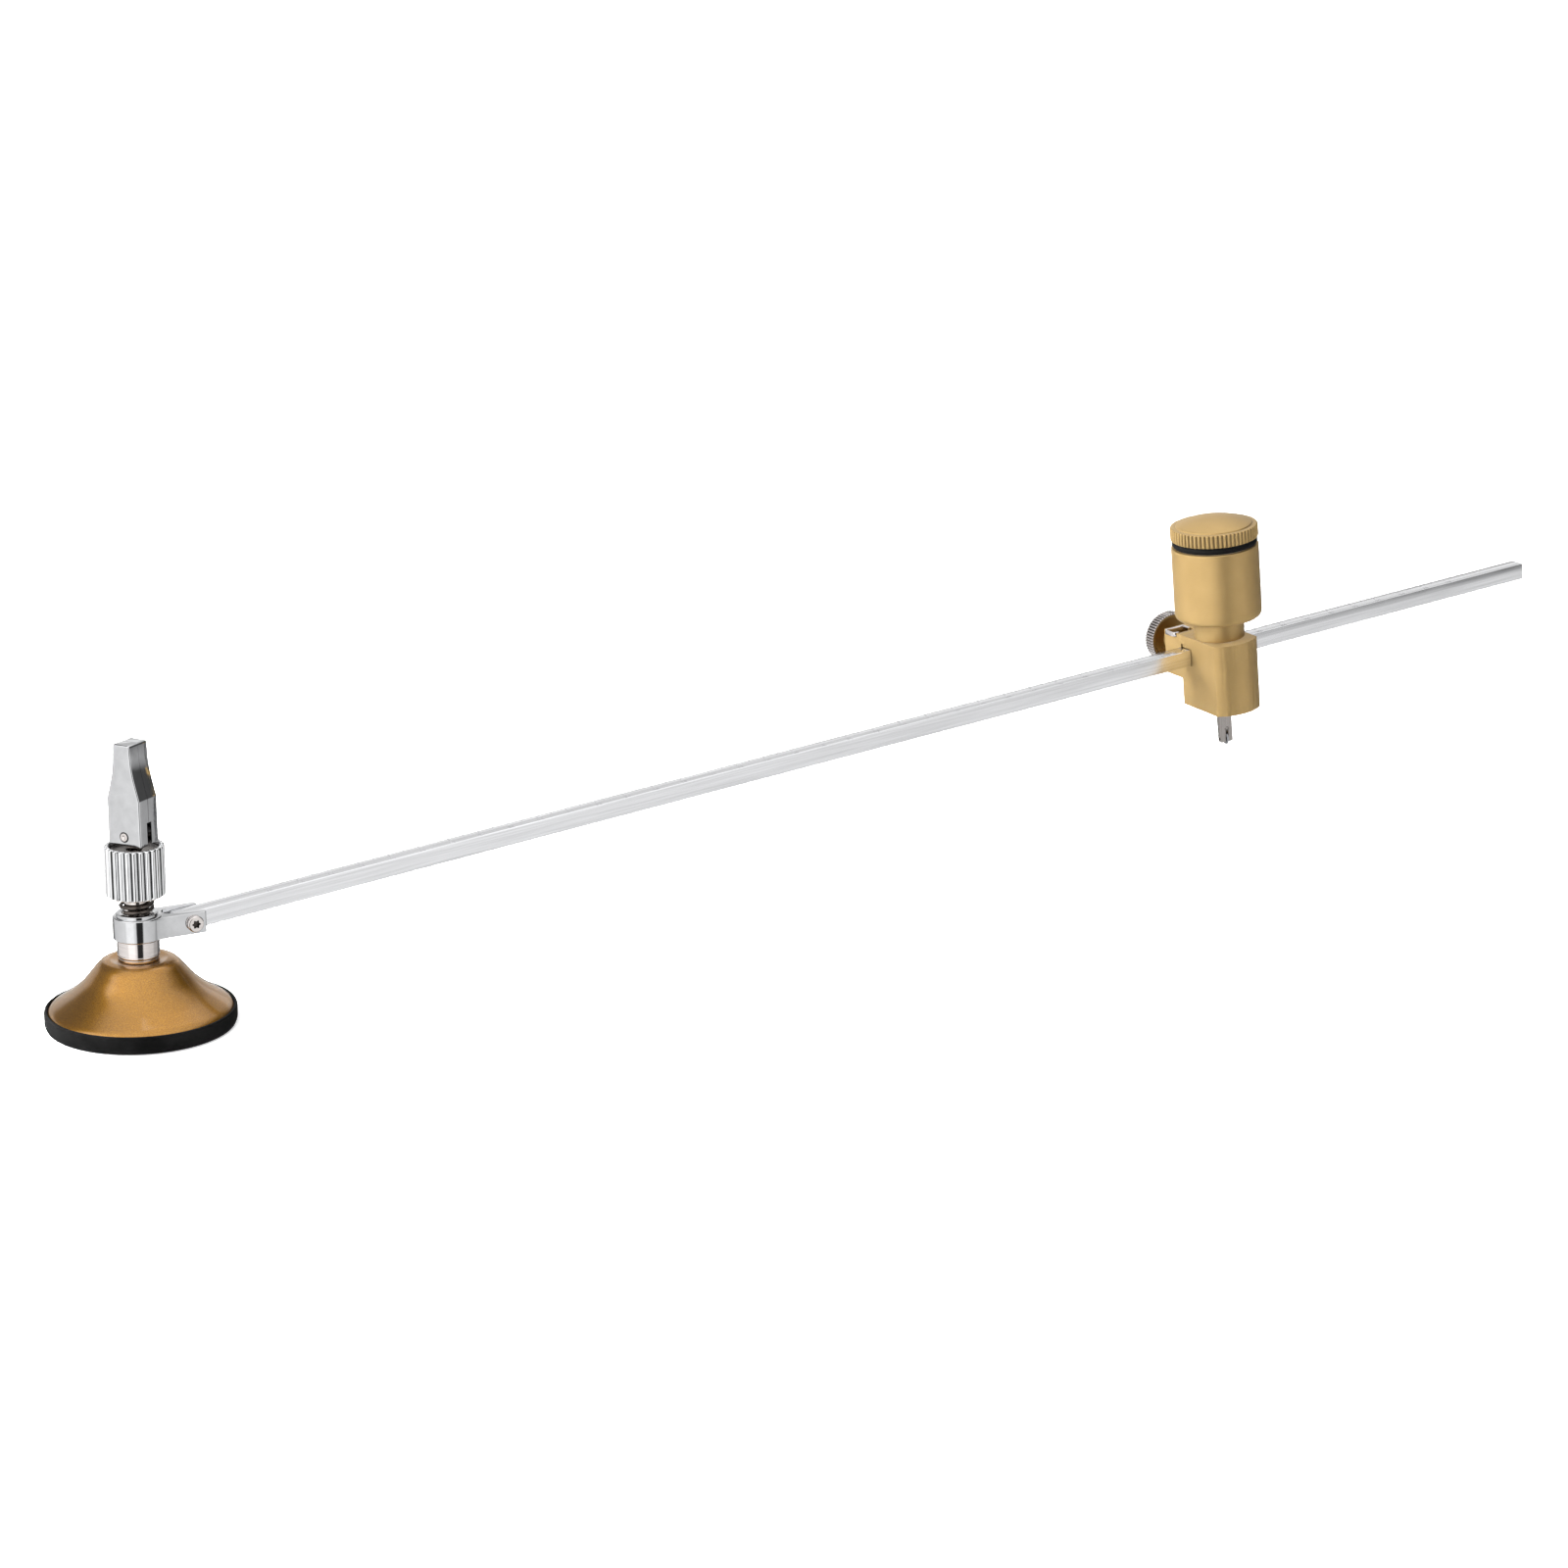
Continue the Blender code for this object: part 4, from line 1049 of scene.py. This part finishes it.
def make_cap_seal():
    low, high = extent("cap_seal", cap_frame)
    wire = (high.z - low.z) / 2
    middle = (reach("cap_seal", cap_frame) - wire, (low.z + high.z) / 2)
    profile = arc(middle, wire, 90, -270, seal_points)[:-1]
    dress(turned("seal_ring", profile), "cap_seal", cap_frame)


def make_reservoir_cap():
    low, high = extent("reservoir_cap", cap_frame)
    radius = reach("reservoir_cap", cap_frame)
    crown_edge = high.z - cap_crown_rise
    band_top = crown_edge - cap_crown_step
    band_bottom = band_top - cap_band_height
    crown = []
    for i in range(cap_crown_points + 1):
        share = i / cap_crown_points
        crown.append((cap_crown_radius * share, crown_edge + cap_crown_rise * (1 - share**2)))
    spigot = reservoir_bore_radius - run_gap
    inner = spigot - cap_spigot_wall
    points = crown[-2:] + [
        (cap_crown_radius, band_top, small_edge),
        (radius, band_top, round_edge),
        (radius, band_bottom, round_edge),
        (spigot, band_bottom, sharp),
        (spigot, low.z),
        (inner, low.z),
        (inner, crown_edge - cap_roof),
    ]
    profile = crown[:-2] + softened(points, bevel_width, closed=False)
    profile += [(0.0, crown_edge - cap_roof)]
    root = radius - cap_tooth_depth
    made = knurled("cap_knurled", profile, cap_teeth, root, tooth_sharpness, closed=False)
    dress(smooth(made, wide_angle), "reservoir_cap", cap_frame).visible_glossy = False


def make_thumb_screw():
    low, high = extent("thumb_screw", thumb_frame)
    knob_low = extent("thumb_knob", thumb_frame)[0]
    disc = knob_low.y + run_gap
    disc_back = disc + thumb_disc_thickness
    points = [
        (near_axis, high.y),
        (thumb_shank, high.y),
        (thumb_shank, disc_back, sharp),
        (thumb_disc_radius, disc_back),
        (thumb_disc_radius, disc),
        (thumb_disc_radius - 2 * thumb_dish, disc, dish_edge),
        (thumb_disc_radius - 3 * thumb_dish, disc + thumb_dish, dish_edge),
        (thumb_collar_radius + thumb_dish, disc + thumb_dish, dish_edge),
        (thumb_collar_radius, disc, sharp),
        (thumb_collar_radius, thumb_collar_start),
        (thumb_shank, thumb_collar_start, sharp),
        (thumb_shank, low.y),
    ]
    profile = to_axis(high.y, points, low.y)
    made = laid(turned("thumb_turned", profile, closed=False), along_y)
    dress(made, "thumb_screw", thumb_frame)


def make_thumb_knob():
    low, high = extent("thumb_knob", thumb_frame)
    radius = (high.x - low.x) / 2
    bore = thumb_shank + run_gap
    recess = thumb_disc_radius + run_gap
    floor = low.y + thumb_disc_thickness + 2 * run_gap
    points = [
        (radius, high.y, round_edge),
        (radius, low.y, round_edge),
        (recess, low.y),
        (recess, floor, sharp),
        (bore, floor),
        (bore, high.y),
    ]
    root = radius - knob_tooth_depth
    made = knurled("knob_knurled", softened(points), knob_teeth, root, tooth_sharpness)
    dress(smooth(laid(made, along_y), wide_angle), "thumb_knob", thumb_frame)


def make_retaining_clip():
    low, high = extent("retaining_clip", head_frame)
    corner_x = low.x + clip_corner
    back_centre = (corner_x, high.y - clip_corner)
    front_centre = (corner_x, low.y + clip_corner)
    inner = clip_corner - clip_sheet
    front_end = low.x + clip_front_length
    leg_end = high.y - clip_right_leg
    points = [(high.x, leg_end), (high.x, high.y)]
    points += arc(back_centre, clip_corner, 90, 180, clip_corner_steps)
    points += arc(front_centre, clip_corner, 180, 270, clip_corner_steps)
    points += [(front_end, low.y), (front_end, low.y + clip_sheet)]
    points += arc(front_centre, inner, 270, 180, clip_corner_steps)
    points += arc(back_centre, inner, 180, 90, clip_corner_steps)
    points += [(high.x - clip_sheet, high.y - clip_sheet), (high.x - clip_sheet, leg_end)]
    made = prism("clip_bent", points, low.z, high.z)
    bevelled(made, hair_edge, fine_segments)
    dress(made, "retaining_clip", head_frame)


def make_wheel_holder():
    low, high = extent("wheel_holder", wheel_frame)
    tongue_top = extent("head_block", head_frame)[0].z - seat_gap - wheel_at.z
    made = rod("holder_machined", shank_radius, tongue_top, high.z)
    side = [
        (-holder_half_depth, tongue_top + overrun),
        (-holder_half_depth, low.z),
        (holder_tip_half_depth, low.z),
        (holder_half_depth, tongue_top),
        (holder_half_depth, tongue_top + overrun),
    ]
    tongue = laid(prism("tongue", side, -holder_half_width, holder_half_width), stand_in_yz)
    join(made, bevelled(tongue, crisp_edge))
    keyhole_rise = keyhole_height - wheel_at.z
    past = 2 * holder_half_depth
    far = 2 * holder_half_width
    slot_low = (-wheel_slot_half, -past, low.z - overrun)
    cut(
        made,
        box("slot", slot_low, (wheel_slot_half, past, keyhole_rise)),
        rod("keyhole", keyhole_radius, -past, past, along_y, (0.0, 0.0, keyhole_rise)),
        rod("hole", axle_radius + run_gap / 2, -far, far, along_x),
    )
    dress(smooth(made), "wheel_holder", wheel_frame, "holder_steel")


def make_cutter_wheel():
    low, high = extent("cutter_wheel", wheel_frame)
    bore = axle_radius + run_gap / 2
    profile = [
        (bore, high.x),
        (wheel_flat_radius, high.x),
        (high.z, 0.0),
        (wheel_flat_radius, low.x),
        (bore, low.x),
    ]
    made = laid(turned("wheel_ground", profile, steps=wheel_steps), along_x)
    dress(made, "cutter_wheel", wheel_frame)


def make_axle_and_set_screw():
    low, high = extent("wheel_axle", wheel_frame)
    axle = rod("axle_pin", axle_radius, low.x, high.x, along_x)
    dress(bevelled(axle, axle_edge, fine_segments), "wheel_axle", wheel_frame)
    low, high = extent("holder_set_screw", head_frame)
    grub = rod("set_screw", (high.y - low.y) / 2, low.x, high.x)
    bevelled(grub, small_edge, fine_segments)
    hexagon = arc((0.0, 0.0), grub_socket_radius, 0, 360, grub_socket_sides)[:-1]
    cut(grub, prism("socket", hexagon, high.x - grub_socket_depth, high.x + overrun))
    laid(grub, along_x, (0.0, wheel_at.y, grub_height))
    dress(smooth(grub), "holder_set_screw", head_frame)


def make_camera():
    out = cos(camera_elevation)
    across, ahead = sin(camera_azimuth), cos(camera_azimuth)
    back = Vector((across * out, -ahead * out, sin(camera_elevation)))
    level = Vector((ahead, across, 0.0))
    upright = back.cross(level)
    right = cos(camera_roll) * level + sin(camera_roll) * upright
    up = cos(camera_roll) * upright - sin(camera_roll) * level
    data = bpy.data.cameras.new("camera")
    data.lens = camera_lens
    data.sensor_width = camera_sensor
    data.clip_start, data.clip_end = camera_clip
    camera = placed("camera", data)
    turn = Matrix((right, up, back)).transposed()
    camera.matrix_world = Matrix.Translation(camera_at) @ turn.to_4x4()
    bpy.context.scene.camera = camera


def maths(tree, operation, *given):
    inputs = dict(enumerate(given))
    return new_node(tree, "ShaderNodeMath", inputs, operation=operation).outputs[0]


def band(tree, value, low, high, soft):
    """1 between two values and 0 outside, with soft ends."""
    rising = ranged(tree, value, low - soft, low + soft)
    falling = ranged(tree, value, high + soft, high - soft)
    return maths(tree, "MULTIPLY", rising, falling)


def facing(tree, direction, toward):
    """How far a direction points towards another one, from -1 to 1."""
    inputs = {0: direction, 1: Vector(toward).normalized()}
    step = new_node(tree, "ShaderNodeVectorMath", inputs, operation="DOT_PRODUCT")
    return step.outputs["Value"]


def make_world():
    """A pale studio with dark gaps between its screens, white where the camera looks."""
    world = bpy.data.worlds.new("studio")
    world.use_nodes = True
    tree = world.node_tree
    tree.nodes.clear()
    direction = new_node(tree, "ShaderNodeTexCoord").outputs["Generated"]
    split = new_node(tree, "ShaderNodeSeparateXYZ", {"Vector": direction}).outputs
    ahead = maths(tree, "MULTIPLY", split["Y"], -1.0)
    around = maths(tree, "DEGREES", maths(tree, "ARCTAN2", split["X"], ahead))
    above = split["Z"]
    halves = []
    for lean, gain, level in (table_light, sky_light):
        shift = maths(tree, "MULTIPLY", facing(tree, direction, lean), gain)
        halves.append(maths(tree, "ADD", shift, level))
    table, sky = halves
    raised = band(tree, above, horizon, past_zenith, horizon_soft)
    gap = maths(tree, "MULTIPLY", maths(tree, "SUBTRACT", sky, table), raised)
    light = maths(tree, "ADD", table, gap)
    behind = facing(tree, direction, back_of_studio)
    for place, patches in ((behind, back_patches), (around, studio_patches)):
        for low, high, soft, bottom, top, edge, added in patches:
            inside = band(tree, place, low, high, soft)
            inside = maths(tree, "MULTIPLY", inside, band(tree, above, bottom, top, edge))
            gain = maths(tree, "ADD", 1.0, maths(tree, "MULTIPLY", inside, added))
            light = maths(tree, "MULTIPLY", light, gain)
    kind = "ShaderNodeBackground"
    studio = new_node(tree, kind, {"Color": white, "Strength": light}).outputs["Background"]
    plain = new_node(tree, kind, {"Color": white, "Strength": 1.0}).outputs["Background"]
    seen = new_node(tree, "ShaderNodeLightPath").outputs["Is Camera Ray"]
    mix = new_node(tree, "ShaderNodeMixShader", {"Fac": seen, 1: studio, 2: plain})
    new_node(tree, "ShaderNodeOutputWorld", {"Surface": mix.outputs["Shader"]})
    bpy.context.scene.world = world


def make_lamp(name, at, size, power, aim):
    data = bpy.data.lights.new(name, "AREA")
    data.shape = "DISK"
    data.size = size
    data.energy = power
    lamp = placed(name, data)
    lamp.visible_glossy = False
    lamp.location = at
    lamp.rotation_euler = (Vector(aim) - Vector(at)).to_track_quat("-Z", "Y").to_euler()


def make_floor():
    low = (-floor_size, -floor_size, -floor_drop - floor_thickness)
    made = box("floor", low, (floor_size, floor_size, -floor_drop))
    tree, shader = new_finish("floor_white", metallic=0.0, roughness=0.9)
    seen = new_node(tree, "ShaderNodeLightPath").outputs["Is Camera Ray"]
    inputs = {
        "Base Color": floor_colour,
        "Specular IOR Level": 0.0,
        "Emission Color": white,
        "Emission Strength": maths(tree, "MULTIPLY", seen, floor_lift),
    }
    feed(shader, inputs)
    paint(made, "floor_white")
    made.visible_glossy = False


# Studio: the pale table below the horizon, the sky of screens above it
horizon = -0.06
horizon_soft = 0.06
past_zenith = 2.0
# Direction that the light grows towards, how much it grows, and its level
table_light = ((-0.8, -0.6, 0.0), 0.25, 0.85)
sky_light = ((-0.57, -0.57, 0.59), 0.45, 0.88)
back_of_studio = (0.48, 0.87, 0.0)
# Dark gaps and bright screens: azimuth range and softness in degrees, height range and softness,
# and the share of light that a screen adds or a gap takes away
studio_patches = (
    (45.0, 122.0, 12.0, -0.12, 0.55, 0.08, -0.88),
    (-25.0, 6.0, 4.0, -1.2, 0.30, 0.06, -0.97),
    (70.0, 100.0, 6.0, -1.2, -0.12, 0.05, -0.3),
    (102.0, 147.0, 4.0, -1.2, -0.12, 0.05, -0.75),
    (-182.0, -152.0, 3.0, -1.2, -0.12, 0.05, -0.6),
    (-192.0, -112.0, 8.0, 0.28, 0.88, 0.08, -0.8),
    (32.0, 108.0, 8.0, 0.42, 0.66, 0.06, -0.55),
    (128.0, 174.0, 4.0, 0.14, 0.31, 0.02, 0.65),
    (-74.0, -36.0, 5.0, -1.2, -0.12, 0.05, 0.3),
    (110.0, 158.0, 16.0, 0.72, 1.20, 0.08, 0.8),
    (-108.0, -48.0, 12.0, 0.50, 0.74, 0.06, 0.7),
)
# Patches behind the object: range and softness of how far they face back, the rest as above
back_patches = ((0.965, 2.0, 0.02, -2.0, -0.14, 0.04, -0.85),)
# Lamps: name, place, size, power and the point they face
lamps = (
    ("key", (-0.9, -1.3, 1.6), 1.1, 16.0, (0.1, 0.0, 0.03)),
    ("side", (-0.72, 0.50, 0.55), 0.9, 100.0, (0.38, 0.0, 0.06)),
    ("fill", (1.2, -1.0, 1.0), 1.2, 5.0, (0.3, 0.0, 0.06)),
)
# Springs: piece, solid, turns, wire, first angle, joint, and whether the top end stays put
springs = (
    ("friction_coil", "friction_spring", 1.88, 0.55 * MM, radians(200.0), "nut_travel", False),
    ("return_coil", "return_spring", 4.0, 0.5 * MM, 0.0, "rod_lift", True),
)

make_rubber_disc()
make_dome_cover()
make_washer("dome_washer", "base_washer", stud_radius + run_gap)
make_post()
make_arm_bracket()
make_bracket_screw()
for row in springs:
    make_spring(*row)
make_washer("thrust_washer", "nut_washer", neck_radius + run_gap)
make_knurled_nut()
make_washer("cam_seat", "cam_washer", rod_bore, "spring_steel")
make_cam_lever()
make_lever_pin()
make_pull_rod()
make_scale_bar()
make_scale_marks()
make_head_block()
make_oil_reservoir()
make_cap_seal()
make_reservoir_cap()
make_thumb_screw()
make_thumb_knob()
make_retaining_clip()
make_wheel_holder()
make_cutter_wheel()
make_axle_and_set_screw()
# Pieces inside the others stay as packed
for node in ("pull_plate", "post_lock_nut", "oil_wick", "clamp_pad"):
    paint(frame["nodes"][node], slot_of[node])

make_camera()
make_world()
for row in lamps:
    make_lamp(*row)
make_floor()
bpy.context.scene.view_settings.view_transform = "Standard"
